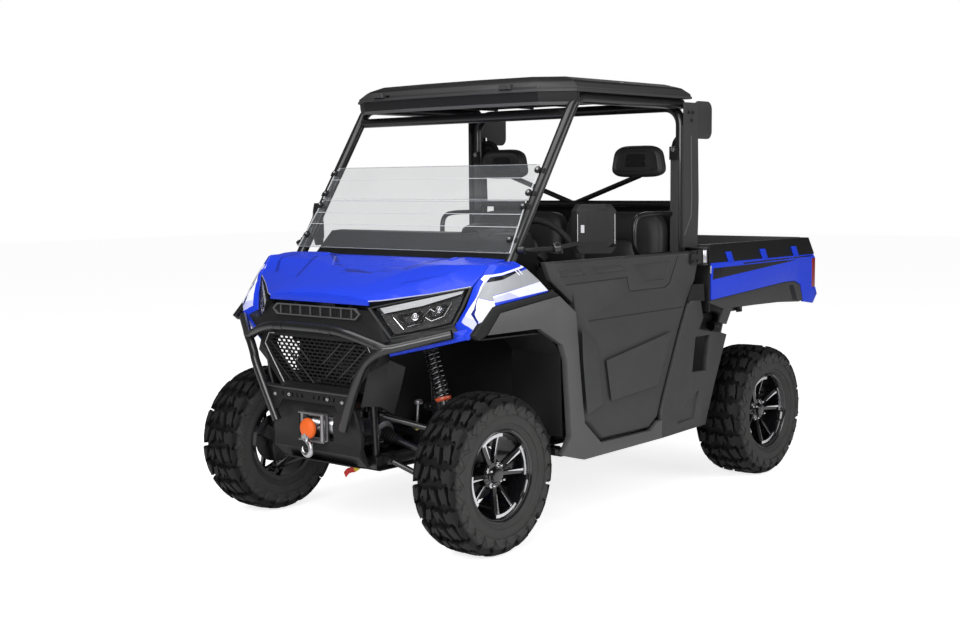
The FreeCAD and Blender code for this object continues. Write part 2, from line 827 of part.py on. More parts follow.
def steering_wheel():
    axis = column_direction()
    ring = grip_ring(axis)
    hub = rod(wheel_centre - axis * 60.0, wheel_centre + axis * 8.0, 42.0)
    shape = [ring, hub]
    side = Vector(1, 0, 0)
    up = axis.cross(side)
    for angle in (0, 90, 180):
        turn = math.radians(angle)
        reach = side * math.cos(turn) + up * math.sin(turn)
        shape.append(rod(wheel_centre - axis * 20.0, wheel_centre + reach * wheel_ring, 11.0))
    shape.append(rod(wheel_centre - axis * column_length, wheel_centre, column_radius))
    return fused(shape)


# Bonnet, fenders and nose

hood_rows_share = [
    (0.00, 0.448, 0.24, 0.20, 0.20, 0.16, 0.12),
    (0.06, 0.515, 0.31, 0.30, 0.26, 0.22, 0.14),
    (0.16, 0.600, 0.40, 0.39, 0.36, 0.31, 0.19),
    (0.34, 0.755, 0.54, 0.53, 0.53, 0.45, 0.29),
    (0.55, 0.962, 0.70, 0.70, 0.73, 0.66, 0.47),
    (0.72, 0.990, 0.83, 0.83, 0.88, 0.90, 0.92),
    (0.88, 0.975, 0.94, 0.94, 0.99, 0.99, 1.00),
    (1.00, 0.965, 1.00, 1.00, 1.05, 1.04, 1.02),
]
across_shares = [
    (0.0, 0.45, 0.62, 0.82, 1.0),
    (0.0, 0.40, 0.58, 0.80, 1.0),
    (0.0, 0.34, 0.52, 0.78, 1.0),
    (0.0, 0.30, 0.46, 0.76, 1.0),
    (0.0, 0.28, 0.42, 0.75, 1.0),
    (0.0, 0.34, 0.50, 0.80, 1.0),
    (0.0, 0.44, 0.60, 0.82, 1.0),
    (0.0, 0.52, 0.68, 0.85, 1.0),
]
hood_front = -1322.0
hood_rear = -878.0
hood_half = 672.0
hood_low = 1012.0
hood_high = 1184.0
hood_skin = 6.0
hood_corner_y = -884.0
hood_axis_y = -1303.0
hood_axis_z = 1016.0
hood_barrel = 8.0
hood_pin = 3.5
hood_lug_x = 120.0
hood_lug_width = 40.0
hood_ear_share = [(-0.23, 0.23), (-0.23, -0.23), (0.15, -0.40), (0.23, -1.0), (1.0, -1.0), (1.0, 0.23)]
hood_ear_reach = 25.3
hood_ear_width = 8.0


def hood_surface(lift):
    rows = []
    for (along, reach, *heights), widths in zip(hood_rows_share, across_shares):
        y = hood_front + along * (hood_rear - hood_front)
        half = reach * hood_half
        rise = hood_high - hood_low
        right = [Vector(half * share, y, hood_low + rise * height + lift) for share, height in zip(widths, heights)]
        left = [Vector(-point.x, point.y, point.z) for point in reversed(right[1:])]
        rows.append(left + right)
    return rows


def above_hood(drop):
    return sheet(hood_surface(-drop), Vector(0, 0, hood_high - hood_low + drop))


def across(x0, x1, y, z, radius):
    return rod(Vector(x0, y, z), Vector(x1, y, z), radius)


def hood():
    shell = sheet(hood_surface(0.0), Vector(0, 0, -hood_skin))
    half = hood_rows_share[0][1] * hood_half
    lip = block(-half, half, hood_front, hood_front + hood_skin, hood_low, hood_high)
    end = hood_lug_x + hood_lug_width
    web = block(hood_lug_x, end, hood_axis_y - hood_barrel, hood_axis_y + hood_barrel, hood_axis_z, hood_high)
    barrel_part = across(hood_lug_x, end, hood_axis_y, hood_axis_z, hood_barrel)
    bore = across(end - hood_lug_width * 0.6, end + overrun, hood_axis_y, hood_axis_z, hood_pin + spindle_fit)
    lug = fused([web, barrel_part]).cut(bore)
    inside = fused([lip, lug, mirrored(lug)]).cut(above_hood(hood_skin / 2))
    edge = hood_half * 0.6
    trim = [(-hood_half - overrun, hood_corner_y), (-edge, hood_rear - pane_thickness), (edge, hood_rear - pane_thickness)]
    trim += [(hood_half + overrun, hood_corner_y), (hood_half + overrun, cowl_y + body_half), (-hood_half - overrun, cowl_y + body_half)]
    rear_cut = slab("z", trim, hood_low - overrun, hood_high + hood_half)
    return fused([shell, inside]).cut(rear_cut)


def hood_ear():
    start = hood_lug_x + hood_lug_width + 2.0
    outline = [(hood_axis_y + u * hood_ear_reach, hood_axis_z + v * hood_ear_reach) for u, v in hood_ear_share]
    plate = slab("x", outline, start, start + hood_ear_width)
    pin = across(start - hood_lug_width * 0.5, start + hood_ear_width / 2, hood_axis_y, hood_axis_z, hood_pin)
    return fused([plate, pin])


panel_skin = 6.0
fender_points = [
    [(605.0, -1142.0, 930.0), (642.0, -1152.0, 914.0), (682.0, -1158.0, 900.0), (694.0, -1156.0, 887.0)],
    [(640.0, -1108.0, 1010.0), (690.0, -1135.0, 988.0), (728.0, -1128.0, 962.0), (738.0, -1122.0, 950.0)],
    [(656.0, -1078.0, 1093.0), (695.0, -1068.0, 1086.0), (728.0, -1060.0, 1058.0), (741.0, -1062.0, 1014.0)],
    [(673.0, -1000.0, 1176.0), (702.0, -990.0, 1168.0), (731.0, -985.0, 1118.0), (742.0, -985.0, 1024.0)],
    [(658.0, -880.0, 1180.0), (702.0, -870.0, 1168.0), (732.0, -862.0, 1122.0), (743.0, -860.0, 1036.0)],
    [(672.0, -846.0, 1177.0), (708.0, -822.0, 1152.0), (735.0, -775.0, 1104.0), (743.0, -716.0, 1053.0)],
]
strip_points = [
    [(385.0, -1300.0, 846.0), (389.0, -1293.0, 812.0)],
    [(541.0, -1222.0, 889.0), (548.0, -1216.0, 852.0)],
    [(676.0, -1150.0, 925.0), (688.0, -1146.0, 889.0)],
]


def patch(table, drop):
    rows = [[Vector(x, y, z) for x, y, z in row] for row in table]
    faces = []
    for near, far in zip(rows, rows[1:]):
        for corners in zip(near, near[1:], far[1:], far):
            faces += facets(corners)
            faces += facets([corner + drop for corner in corners])
    border = rows[0] + [row[-1] for row in rows[1:]] + rows[-1][-2::-1] + [row[0] for row in rows[-2:0:-1]]
    for a, b in zip(border, border[1:] + border[:1]):
        faces += facets([a, a + drop, b + drop, b])
    return closed(faces).removeSplitter()


def front_fenders():
    top = patch(fender_points, Vector(-panel_skin, 0, -panel_skin))
    strip = patch(strip_points, Vector(0, panel_skin, -panel_skin / 2))
    return pair(fused([top, strip]))


nose_front = -1335.0
nose_depth = 60.0
nose_share = [(1.0, 1.0), (1.206, 0.647), (1.07, 0.55), (1.12, 0.41), (0.99, 0.31), (0.682, 0.0)]
nose_half = 330.0
nose_base = 650.0
grille_half = 318.0
grille_low = 665.0
grille_high = 862.0
grille_share = [(-0.912, 1.0), (0.912, 1.0), (1.0, 0.787), (0.63, 0.0), (-0.63, 0.0), (-1.0, 0.787)]
lean_share = [(-0.05, 1.05), (0.42, 1.05), (-0.05, 0.0)]
vent_count = 7
vent_pitch = 66.0
vent_gap = 12.0
vent_low = 962.0
vent_height = 26.0
vent_depth = 22.0
cheek_points = [
    [(326.0, -1336.0, 800.0), (362.0, -1262.0, 790.0), (400.0, -1215.0, 760.0)],
    [(300.0, -1342.0, 700.0), (345.0, -1268.0, 690.0), (372.0, -1215.0, 670.0)],
    [(266.0, -1338.0, 600.0), (306.0, -1268.0, 596.0), (330.0, -1215.0, 560.0)],
]
wing_points = [
    [(378.0, -1300.0, 886.0), (380.0, -1302.0, 850.0)],
    [(492.0, -1224.0, 912.0), (506.0, -1240.0, 882.0)],
    [(602.0, -1144.0, 936.0), (640.0, -1166.0, 914.0)],
]


def grille_outline():
    return [(u * grille_half, grille_low + v * (grille_high - grille_low)) for u, v in grille_share]


def nose_fascia():
    top = hood_axis_z - hood_ear_reach
    right = [(u * nose_half, nose_base + v * (top - nose_base)) for u, v in nose_share]
    outline = right + [(-x, z) for x, z in reversed(right)]
    rear = nose_front + nose_depth
    plate = slab("y", outline, nose_front, rear)
    hole = slab("y", grille_outline(), nose_front - overrun, rear + overrun)
    wedge = slab("x", [(nose_front + u * nose_depth, grille_high + v * (top - grille_high)) for u, v in lean_share], -body_half, body_half)
    body = plate.cut(hole).cut(wedge).cut(above_hood(hood_skin + moving_gap))
    width = vent_pitch - vent_gap
    for number in range(vent_count):
        x = (number - (vent_count - 1) / 2) * vent_pitch
        body = body.cut(block(x - width / 2, x + width / 2, nose_front - overrun, nose_front + vent_depth, vent_low, vent_low + vent_height))
    ear = hood_ear()
    cheek = patch(cheek_points, Vector(-panel_skin, panel_skin, 0))
    wing = patch(wing_points, Vector(-panel_skin / 2, panel_skin, panel_skin / 2))
    sides = [ear, cheek, wing]
    whole = fused([body] + sides + [mirrored(part) for part in sides])
    return whole.cut(headlamp_housings()).cut(headlamp_lenses()).cut(front_fenders())


louvre_rows = 7
louvre_pitch = 46.0
louvre_width = 34.0
louvre_bar = 8.0
grille_depth = 10.0


def grille():
    corners = [Vector(a, nose_front + grille_depth, b) for a, b in grille_outline()]
    wire = Part.makePolygon(corners + corners[:1])
    plate = Part.Face(wire.makeOffset2D(-seat_gap, 2)).extrude(Vector(0, grille_depth, 0))
    inside = Part.Face(wire.makeOffset2D(-louvre_bar * 1.5, 2)).extrude(Vector(0, grille_depth, 0))
    step = (grille_high - grille_low) / louvre_rows
    slots = []
    count = int(grille_half / louvre_pitch) + 1
    for row in range(louvre_rows):
        low = grille_low + row * step + louvre_bar / 2
        high = low + step - louvre_bar
        for column in range(-count, count + 1):
            x = (column + row % 2 * 0.5) * louvre_pitch
            lean = louvre_pitch * 0.25
            outline = [(x, low), (x + louvre_width, low), (x + louvre_width + lean, high), (x + lean, high)]
            slot = slab("y", outline, nose_front, nose_front + grille_depth * 3)
            slots.append(slot.common(inside))
    return plate.cut(Part.makeCompound([slot for slot in slots if slot.Volume > 1.0]))


radiator_share = (0.617, -0.53, 0.88)
radiator_depth = 35.0


def radiator():
    half = grille_half * radiator_share[0]
    tall = grille_high - grille_low
    low = grille_low + tall * radiator_share[1]
    y = nose_front + nose_depth + radiator_depth
    core = block(-half, half, y, y + radiator_depth, low, grille_low + tall * radiator_share[2])
    return core.cut(chassis_frame()).cut(frame_towers())


lamp_inner = 312.0
lamp_outer = 647.0
lamp_low_z = 884.0
lamp_high_z = 1088.0
lamp_share = [(0.0, 0.588), (0.26, 0.7), (0.62, 0.853), (1.0, 1.0), (0.94, 0.63), (0.866, 0.265), (0.65, 0.157), (0.43, 0.059), (0.257, 0.0), (0.125, 0.3)]
lens_share = [(0.04, 0.585), (0.27, 0.675), (0.62, 0.82), (0.95, 0.945), (0.9, 0.62), (0.84, 0.3), (0.64, 0.2), (0.43, 0.1), (0.275, 0.05), (0.155, 0.31)]
lamp_low_line = [(392.0, -1308.0), (640.0, -1124.0)]
lamp_high_line = [(304.0, -1322.0), (662.0, -1068.0)]
lamp_depth = 60.0
lens_thickness = 4.0


def lamp_body(table, front, back):
    rings = []
    for z, line in ((lamp_low_z - overrun, lamp_low_line), (lamp_high_z + overrun, lamp_high_line)):
        points = [Vector(x, y - front, z) for x, y in line] + [Vector(x, y + back, z) for x, y in reversed(line)]
        rings.append(Part.makePolygon(points + points[:1]))
    outline = slab("y", spread(table, lamp_inner, lamp_outer, lamp_low_z, lamp_high_z), nose_front - nose_depth, cowl_y)
    body = Part.makeLoft(rings, True, True).common(outline)
    return body.cut(above_hood(hood_skin + moving_gap))


def headlamp_housings():
    return pair(lamp_body(lamp_share, 0.0, lamp_depth))


def headlamp_lenses():
    return pair(lamp_body(lens_share, seat_gap + lens_thickness, -seat_gap))


# Tube guard, lower bumper, winch

guard_radius = 19.0
guard_bend = 60.0
guard_top = [(0.0, -1405.0, 914.0), (200.0, -1402.0, 912.0), (422.0, -1346.0, 846.0), (639.0, -1197.0, 906.0)]
guard_leg = [(422.0, -1346.0, 846.0), (285.0, -1400.0, 740.0), (204.0, -1382.0, 504.0)]
guard_plate_share = [(-0.93, 0.0), (0.93, 0.0), (1.0, 1.0), (-1.0, 1.0)]
guard_plate_half = 254.0
guard_plate_low = 600.0
guard_plate_high = 650.0
guard_plate_y = -1386.0
guard_slots = 5
guard_slot_pitch = 30.0
bumper_y = -1345.0
bumper_thickness = 20.0
winch_y = -1270.0
winch_z = 490.0
winch_radius = 48.0
winch_half = 160.0
drum_half = 95.0


def points_of(table):
    return [Vector(x, y, z) for x, y, z in table]


def guard_plate():
    height = guard_plate_high - guard_plate_low
    outline = [(u * guard_plate_half, guard_plate_low + v * height) for u, v in guard_plate_share]
    plate = slab("y", outline, guard_plate_y, guard_plate_y + panel_skin)
    slots = []
    for side in (-1, 1):
        for number in range(guard_slots):
            x = side * (number + 1) * guard_slot_pitch
            low = guard_plate_low + height * 0.3
            lean = -side * height * 0.16
            corners = [(x, low), (x + guard_slot_pitch * 0.25, low), (x + guard_slot_pitch * 0.25 + lean, low + height * 0.4), (x + lean, low + height * 0.4)]
            slots.append(slab("y", corners, guard_plate_y - overrun, guard_plate_y + panel_skin + overrun))
    return plate.cut(Part.makeCompound(slots))


def bumper_guard():
    top = bent_tube(points_of(guard_top), guard_radius, guard_bend)
    leg = bent_tube(points_of(guard_leg), guard_radius, guard_bend)
    foot = guard_leg[-1]
    ear = block(foot[0] - guard_radius * 0.8, foot[0] + guard_radius * 0.8, foot[1], bumper_y - seat_gap, foot[2], foot[2] + guard_radius * 3)
    height = guard_plate_high - guard_plate_low
    outline = [(guard_plate_half * 0.93, guard_plate_low), (guard_plate_half * 0.84, guard_plate_low - height), (guard_plate_half * 0.62, guard_plate_low)]
    gusset = slab("y", outline, guard_plate_y, guard_plate_y + panel_skin)
    half = [top, leg, ear, gusset]
    return fused(half + [mirrored(part) for part in half] + [guard_plate()])


skid_side_share = [(0.0, 1.0), (0.0, 0.33), (-0.117, 0.2), (0.75, 0.0), (1.0, 0.0), (0.333, 0.32), (0.333, 1.0)]
skid_front_share = [(-0.8, 1.0), (0.8, 1.0), (1.0, 0.5), (0.95, 0.0), (-0.95, 0.0), (-1.0, 0.5)]
skid_half = 270.0
skid_low = 341.0
skid_high = 600.0
skid_depth = 60.0
window_half = 105.0
window_low = 440.0
window_high = 545.0


def bumper_skid():
    tall = skid_high - skid_low
    side = [(bumper_y + u * skid_depth, skid_low + v * tall) for u, v in skid_side_share]
    front = [(u * skid_half, skid_low + v * tall) for u, v in skid_front_share]
    shell = slab("x", side, -skid_half, skid_half)
    shell = shell.common(slab("y", front, bumper_y - skid_depth, bumper_y + skid_depth * 2))
    window = [(-window_half, window_low), (window_half, window_low), (window_half, window_high), (-window_half, window_high)]
    return shell.cut(slab("y", window, bumper_y - skid_depth, bumper_y + skid_depth * 2))


def winch_drum():
    drum = across(-drum_half, drum_half, winch_y, winch_z, winch_radius - panel_skin)
    motor = across(drum_half, winch_half, winch_y, winch_z, winch_radius)
    return fused([drum, motor, mirrored(motor)])


roller_x = 60.0
roller_radius = 9.0
fairlead_half = 78.0
fairlead_plate = 6.0
fairlead_gap = 14.0
rail_margin = 8.0


def fairlead():
    front = bumper_y - seat_gap
    y = front - fairlead_plate - fairlead_gap
    low = window_low - rail_margin
    high = window_high + rail_margin
    plate = block(-fairlead_half, fairlead_half, front - fairlead_plate, front, low, high)
    plate = plate.cut(block(-roller_x, roller_x, front - fairlead_plate - overrun, front + overrun, window_low + rail_margin, window_high - rail_margin))
    shape = [plate]
    for z in (low, high - fairlead_plate):
        shape.append(block(-fairlead_half, fairlead_half, y - roller_radius, front, z, z + fairlead_plate))
    for side in (-1, 1):
        shape.append(block_rod(side * roller_x, y, low, high, roller_radius))
    return fused(shape)


def winch():
    return Part.makeCompound([winch_drum(), fairlead()])


stopper_radius = 44.0
stopper_depth = 26.0
hook_radius = 26.0
hook_wire = 8.0
hook_drop = 89.0
rope_radius = 5.0


def winch_hook():
    y = bumper_y - seat_gap - fairlead_plate - fairlead_gap - roller_radius - seat_gap
    z = winch_z
    ball = rod(Vector(0, y - stopper_depth, z), Vector(0, y, z), stopper_radius)
    ball = ball.makeFillet(stopper_depth / 3, [edge for edge in ball.Edges if edge.BoundBox.YMax < y - 1.0])
    middle = y - stopper_depth / 2
    ring = Part.makeTorus(hook_radius, hook_wire, Vector(0, middle, z - hook_drop), Vector(0, 1, 0))
    mouth = block(0, hook_radius * 2, middle - hook_wire * 2, middle + hook_wire * 2, z - hook_drop, z - hook_drop + hook_wire * 2)
    shank = block_rod(0.0, middle, z - hook_drop + hook_radius - hook_wire / 2, z - stopper_radius / 2, hook_wire)
    rope = rod(Vector(0, y - stopper_depth / 2, z), Vector(0, winch_y, z), rope_radius)
    drum = across(-drum_half, drum_half, winch_y, winch_z, winch_radius - panel_skin + seat_gap)
    return fused([ball, ring.cut(mouth), shank, rope.cut(drum)])


# Windshield, cage, roof and mirrors

pane_thickness = 4.0
lower_pane = [(650.0, 1196.0), (625.0, 1408.0)]
upper_pane = [(628.0, 1414.0), (620.0, 1560.0)]
clamp_heights = (1250.0, 1385.0, 1440.0, 1535.0)
clamp_inset = 18.0
clamp_radius = 8.0


def pillar_line(z):
    share = (z - cowl_z) / (header_z - cowl_z)
    return cowl_y + (header_y - cowl_y) * share


def pillar_rise():
    return Vector(0, header_y - cowl_y, header_z - cowl_z).normalize()


def windshield_panes():
    rise = pillar_rise()
    out = Vector(0, -rise.z, rise.y)
    panes = []
    for (low_half, low), (high_half, high) in (lower_pane, upper_pane):
        corners = [(low_half, low), (high_half, high), (-high_half, high), (-low_half, low)]
        points = [Vector(x, pillar_line(z), z) + out * (cage_tube + seat_gap) for x, z in corners]
        face = Part.Face(Part.makePolygon(points + points[:1]))
        panes.append(face.extrude(out * pane_thickness))
    return Part.makeCompound(panes)


header_drop = 10.0


def cage_front():
    corner = Vector(pillar_x, pillar_line(roof_rail_z), roof_rail_z)
    side = bent_tube([Vector(pillar_x, cowl_y, cowl_z), corner, Vector(pillar_x, rear_hoop_y, roof_rail_z)], cage_tube, cage_bend)
    header = across(-pillar_x, pillar_x, header_y, header_z - header_drop, cage_tube * 0.9)
    rise = pillar_rise()
    out = Vector(0, -rise.z, rise.y)
    clamps = []
    for z in clamp_heights:
        seat = Vector(pillar_x - clamp_inset, pillar_line(z), z)
        clamps.append(rod(seat, seat + out * cage_tube, clamp_radius))
    clamps += [mirrored(clamp) for clamp in clamps]
    return fused([side, mirrored(side), header] + clamps).cut(cage_rear()).cut(chassis_frame()).cut(frame_towers())


def cage_rear():
    x = pillar_x
    y = rear_hoop_y
    top = roof_rail_z - header_drop
    low = floor_level() + floor_thickness
    hoop = bent_tube([Vector(x, y, low), Vector(x, y, top), Vector(-x, y, top), Vector(-x, y, low)], cage_tube, cage_bend)
    bar = across(-x, x, y, back_bar_z, cage_tube * 0.7)
    return fused([hoop, bar])


cladding_share = [(-0.9, 0.0), (1.0, 0.0), (1.1, 0.4), (0.95, 1.0), (-0.95, 1.0), (-0.9, 0.4)]
cladding_top = 1760.0
corner_plate_low = 1700.0
corner_plate_high = 1880.0
corner_plate_front = 515.0
corner_plate_rear = 670.0
corner_plate_radius = 40.0


def pillar_cladding():
    low = hinge_high + hinge_plate + seat_gap
    half = cladding_width / 2
    outline = [(rear_hoop_y + u * half, low + v * (cladding_top - low)) for u, v in cladding_share]
    face = pillar_x + cage_tube + seat_gap
    strip = slab("x", outline, face, face + cladding_thickness)
    x = pillar_x + cage_tube / 2
    plate = block(x, x + panel_skin, corner_plate_front, corner_plate_rear, corner_plate_low, corner_plate_high)
    plate = plate.makeFillet(corner_plate_radius, [edge for edge in plate.Edges if edge.BoundBox.XLength > 1.0 and edge.BoundBox.YLength < 1.0 and edge.BoundBox.ZLength < 1.0])
    arm = block(x, x + panel_skin, rear_hoop_y, corner_plate_front + corner_plate_radius, corner_plate_low + corner_plate_radius, corner_plate_high - corner_plate_radius)
    return pair(Part.makeCompound([strip, fused([plate, arm]).cut(cage_rear()), hinge_brackets()]))


roof_half = 668.0
roof_front = -559.0
roof_rear = 470.0
roof_top = 1955.0
roof_edge = 30.0
roof_share = [(-1.0, 1.0), (-1.0, 0.13), (-0.8, 0.03), (-0.3, 0.0), (0.3, 0.0), (0.8, 0.03), (1.0, 0.13), (1.0, 1.0)]
roof_ring_share = [(1.0, 0.0, 0.0), (1.0, 0.005, 0.33), (0.95, 0.03, 0.72), (0.85, 0.07, 1.0)]
notch_x = 370.0
notch_width = 60.0
notch_depth = 26.0


def roof():
    base = roof_rail_z + cage_tube + seat_gap
    length = roof_rear - roof_front
    rings = []
    for scale, inset, rise in roof_ring_share:
        points = []
        for u, v in roof_share:
            y = roof_front + length * (inset + v * (1 - 2 * inset))
            points.append(Vector(u * roof_half * scale, y, base + rise * (roof_top - base)))
        rings.append(Part.makePolygon(points + points[:1]))
    shell = Part.makeLoft(rings, True, True)
    notches = []
    for side in (-1, 1):
        x = side * notch_x
        notches.append(block(x - notch_width / 2, x + notch_width / 2, roof_front - overrun, roof_front + notch_width, base - overrun, base + notch_depth))
    return shell.cut(Part.makeCompound(notches))


mirror_width = 184.0
mirror_depth = 52.0
mirror_start = (795.0, -622.0)
mirror_turn = 41.9
mirror_low = 1203.0
mirror_high = 1406.0
mirror_chamfer = 26.0
mirror_share = [(0.0, 0.45), (0.1, 0.06), (0.8, 0.0), (1.0, 0.4), (1.0, 0.92), (0.0, 0.92)]
mirror_arm = [(650.0, -815.0, 1222.0), (712.0, -800.0, 1224.0), (772.0, -700.0, 1230.0), (822.0, -582.0, 1250.0)]
mirror_stem = 9.0


def mirrors():
    turn = math.radians(mirror_turn)
    along = Vector(math.cos(turn), math.sin(turn), 0)
    inward = Vector(-math.sin(turn), math.cos(turn), 0)
    rings = []
    for scale, z in ((0.8, mirror_low), (1.0, mirror_low + mirror_chamfer), (1.0, mirror_high - mirror_chamfer), (0.8, mirror_high)):
        points = []
        for u, v in mirror_share:
            spot = along * (mirror_width * (0.5 + (u - 0.5) * scale)) + inward * (mirror_depth * (0.5 + (v - 0.5) * scale))
            points.append(Vector(mirror_start[0], mirror_start[1], z) + spot)
        rings.append(Part.makePolygon(points + points[:1]))
    head = Part.makeLoft(rings, True, True)
    stem = bent_tube(points_of(mirror_arm), mirror_stem, mirror_chamfer)
    return pair(fused([head, stem]).cut(cage_front()))


# Side panels and doors

door_front = -707.0
door_rear = 455.0
door_base = 372.0
door_top = 1168.0
door_depth = 53.0
door_inner = body_half - door_depth
door_rim = 28.0
door_edge = body_half - door_rim
door_relief = 10.0
door_outer = body_half - door_relief
door_share = [
    (0.0, 1.0), (0.036, 0.899), (0.166, 0.769), (0.181, 0.594), (0.195, 0.412),
    (0.21, 0.236), (0.222, 0.123), (0.32, 0.0), (0.634, 0.0), (0.694, 0.054),
    (0.731, 0.186), (0.839, 0.531), (0.894, 0.688), (0.963, 0.827), (1.0, 1.0),
]
door_face_share = [
    (0.034, 0.99), (0.049, 0.925), (0.139, 0.842), (0.229, 0.681), (0.293, 0.54),
    (0.324, 0.211), (0.243, 0.121), (0.328, 0.015), (0.631, 0.015), (0.686, 0.064),
    (0.721, 0.192), (0.83, 0.538), (0.885, 0.695), (0.953, 0.832), (0.988, 0.99),
]
door_pocket_share = [(0.347, 0.428), (0.813, 0.56), (0.698, 0.26), (0.391, 0.205)]
emboss_shares = [
    [(0.06, 0.952), (0.188, 0.961), (0.224, 0.917), (0.07, 0.916)],
    [(0.256, 0.961), (0.447, 0.961), (0.474, 0.921), (0.287, 0.916)],
    [(0.52, 0.951), (0.78, 0.961), (0.744, 0.849), (0.613, 0.851)],
]
groove_shares = [
    [(0.238, 0.673), (0.867, 0.682), (0.867, 0.675), (0.238, 0.666)],
    [(0.101, 0.872), (0.479, 0.882), (0.497, 0.802), (0.738, 0.802), (0.775, 0.824), (0.834, 0.977),
     (0.829, 0.98), (0.77, 0.83), (0.736, 0.809), (0.5, 0.809), (0.483, 0.889), (0.102, 0.879)],
]
pocket_depth = 8.0
pocket_draft = 14.0
emboss_depth = 4.0
hinge_stand = 3.0
hinge_x = body_half + hinge_stand
hinge_y = 466.0
panel_depth = 30.0
panel_inner = body_half - panel_depth
hinge_low = 1106.0
hinge_high = 1180.0
hinge_plate = 6.0
hinge_barrel = 13.0
hinge_pin = 7.0
leaf_front = 380.0


def door_outline(table=door_share):
    return spread(table, door_front, door_rear, door_base, door_top)


def pocket(table, depth, draft):
    corners = [Vector(door_outer + overrun, a, b) for a, b in door_outline(table)]
    wide = Part.makePolygon(corners + corners[:1])
    narrow = wide.makeOffset2D(-draft, 2)
    narrow.translate(Vector(-depth - overrun, 0, 0))
    return Part.makeLoft([wide, narrow], True, True)


def hinge_brackets():
    parts = [block_rod(hinge_x, hinge_y, hinge_low - hinge_plate, hinge_high + hinge_plate, hinge_pin)]
    for z in (hinge_low - hinge_plate, hinge_high):
        parts.append(block(pillar_x, hinge_x + hinge_barrel, hinge_y - hinge_barrel, hinge_y + hinge_barrel, z, z + hinge_plate))
    return fused(parts).cut(cage_rear())


def door_left():
    core = slab("x", door_outline(), door_inner, door_edge)
    rings = []
    for x, table in ((door_edge, door_share), (door_outer, door_face_share)):
        corners = [Vector(x, a, b) for a, b in door_outline(table)]
        rings.append(Part.makePolygon(corners + corners[:1]))
    panel = core.fuse(Part.makeLoft(rings, True, True))
    cuts = [pocket(door_pocket_share, pocket_depth, pocket_draft)]
    cuts += [pocket(table, emboss_depth, emboss_depth) for table in emboss_shares]
    cuts += [slab("x", door_outline(table), door_outer - emboss_depth, door_outer + overrun) for table in groove_shares]
    panel = panel.cut(Part.makeCompound(cuts))
    low = hinge_low + 1.0
    high = hinge_high - 1.0
    leaf = block(door_edge, door_outer + hinge_plate, leaf_front, hinge_y, low, door_top - moving_gap)
    barrel_part = block_rod(hinge_x, hinge_y, low, high, hinge_barrel)
    bore = block_rod(hinge_x, hinge_y, low - overrun, high + overrun, hinge_pin + spindle_fit)
    return fused([panel, leaf, barrel_part]).cut(bore)


seam_front = 14.0


def door_cutter():
    corners = [Vector(0, a, b) for a, b in door_outline()]
    wire = Part.makePolygon(corners + corners[:1])
    wide = Part.Face(wire.makeOffset2D(seam_gap, 2)).extrude(Vector(body_half * 2, 0, 0))
    ahead = wide.copy()
    ahead.translate(Vector(0, -seam_front, 0))
    return wide.fuse(ahead)


panel_front = -1177.0
panel_rear = 120.0
panel_base = 308.0
panel_high = 1060.0
side_panel_share = [
    (0.12, 0.898), (0.41, 0.956), (0.497, 0.854), (0.676, 0.654), (0.676, 0.255),
    (0.954, 0.122), (1.0, 0.122), (1.0, 0.011), (0.541, 0.0), (0.43, 0.051),
    (0.472, 0.153), (0.45, 0.588), (0.427, 0.68), (0.308, 0.789), (0.062, 0.79),
]
lip_share = [
    (0.0, 0.794), (0.084, 0.934), (0.358, 0.98), (0.375, 0.995), (0.41, 0.96),
    (0.12, 0.902), (0.061, 0.794), (0.021, 0.766),
]


def side_outline(table):
    return spread(table, panel_front, panel_rear, panel_base, panel_high)


def side_panels():
    panel = slab("x", side_outline(side_panel_share), panel_inner, body_half)
    return pair(panel.cut(door_cutter()).cut(front_fenders()))


rear_panel_front = 120.6
rear_panel_rear = 679.0
rear_panel_base = 316.0
rear_panel_top = 940.0
rear_panel_share = [
    (0.0, 0.0), (0.66, 0.022), (0.807, 0.329), (1.0, 0.697), (0.903, 0.72), (0.751, 0.737),
    (0.557, 0.771), (0.62, 0.851), (0.577, 0.99), (0.321, 1.0), (0.0, 0.455),
]
rear_window_share = [(0.45, 0.449), (0.688, 0.442), (0.733, 0.715), (0.5, 0.715)]
rear_pocket_share = [(0.558, 0.298), (0.476, 0.093), (0.228, 0.082), (0.4, 0.25)]


def rear_side_panels():
    box = (rear_panel_front, rear_panel_rear, rear_panel_base, rear_panel_top)
    panel = slab("x", spread(rear_panel_share, *box), panel_inner, body_half)
    window = slab("x", spread(rear_window_share, *box), panel_inner - overrun, body_half + overrun)
    recess = slab("x", spread(rear_pocket_share, *box), body_half - pocket_depth, body_half + overrun)
    return pair(panel.cut(door_cutter()).cut(window).cut(recess))


liner_inner = 450.0
liner_share = [
    (0.453, 0.149), (0.445, 0.628), (0.368, 0.761), (0.059, 0.767), (0.059, 0.76), (0.365, 0.753),
    (0.44, 0.624), (0.448, 0.149),
]


def wheel_liners():
    liner = slab("x", side_outline(liner_share), liner_inner, panel_inner - seat_gap)
    lip = slab("x", side_outline(lip_share), panel_inner, body_half - panel_skin / 2)
    lip = lip.cut(door_cutter()).cut(front_fenders()).cut(side_panels())
    return pair(Part.makeCompound([liner.cut(chassis_frame()).cut(frame_towers()), lip]))


# Load bed and tailgate

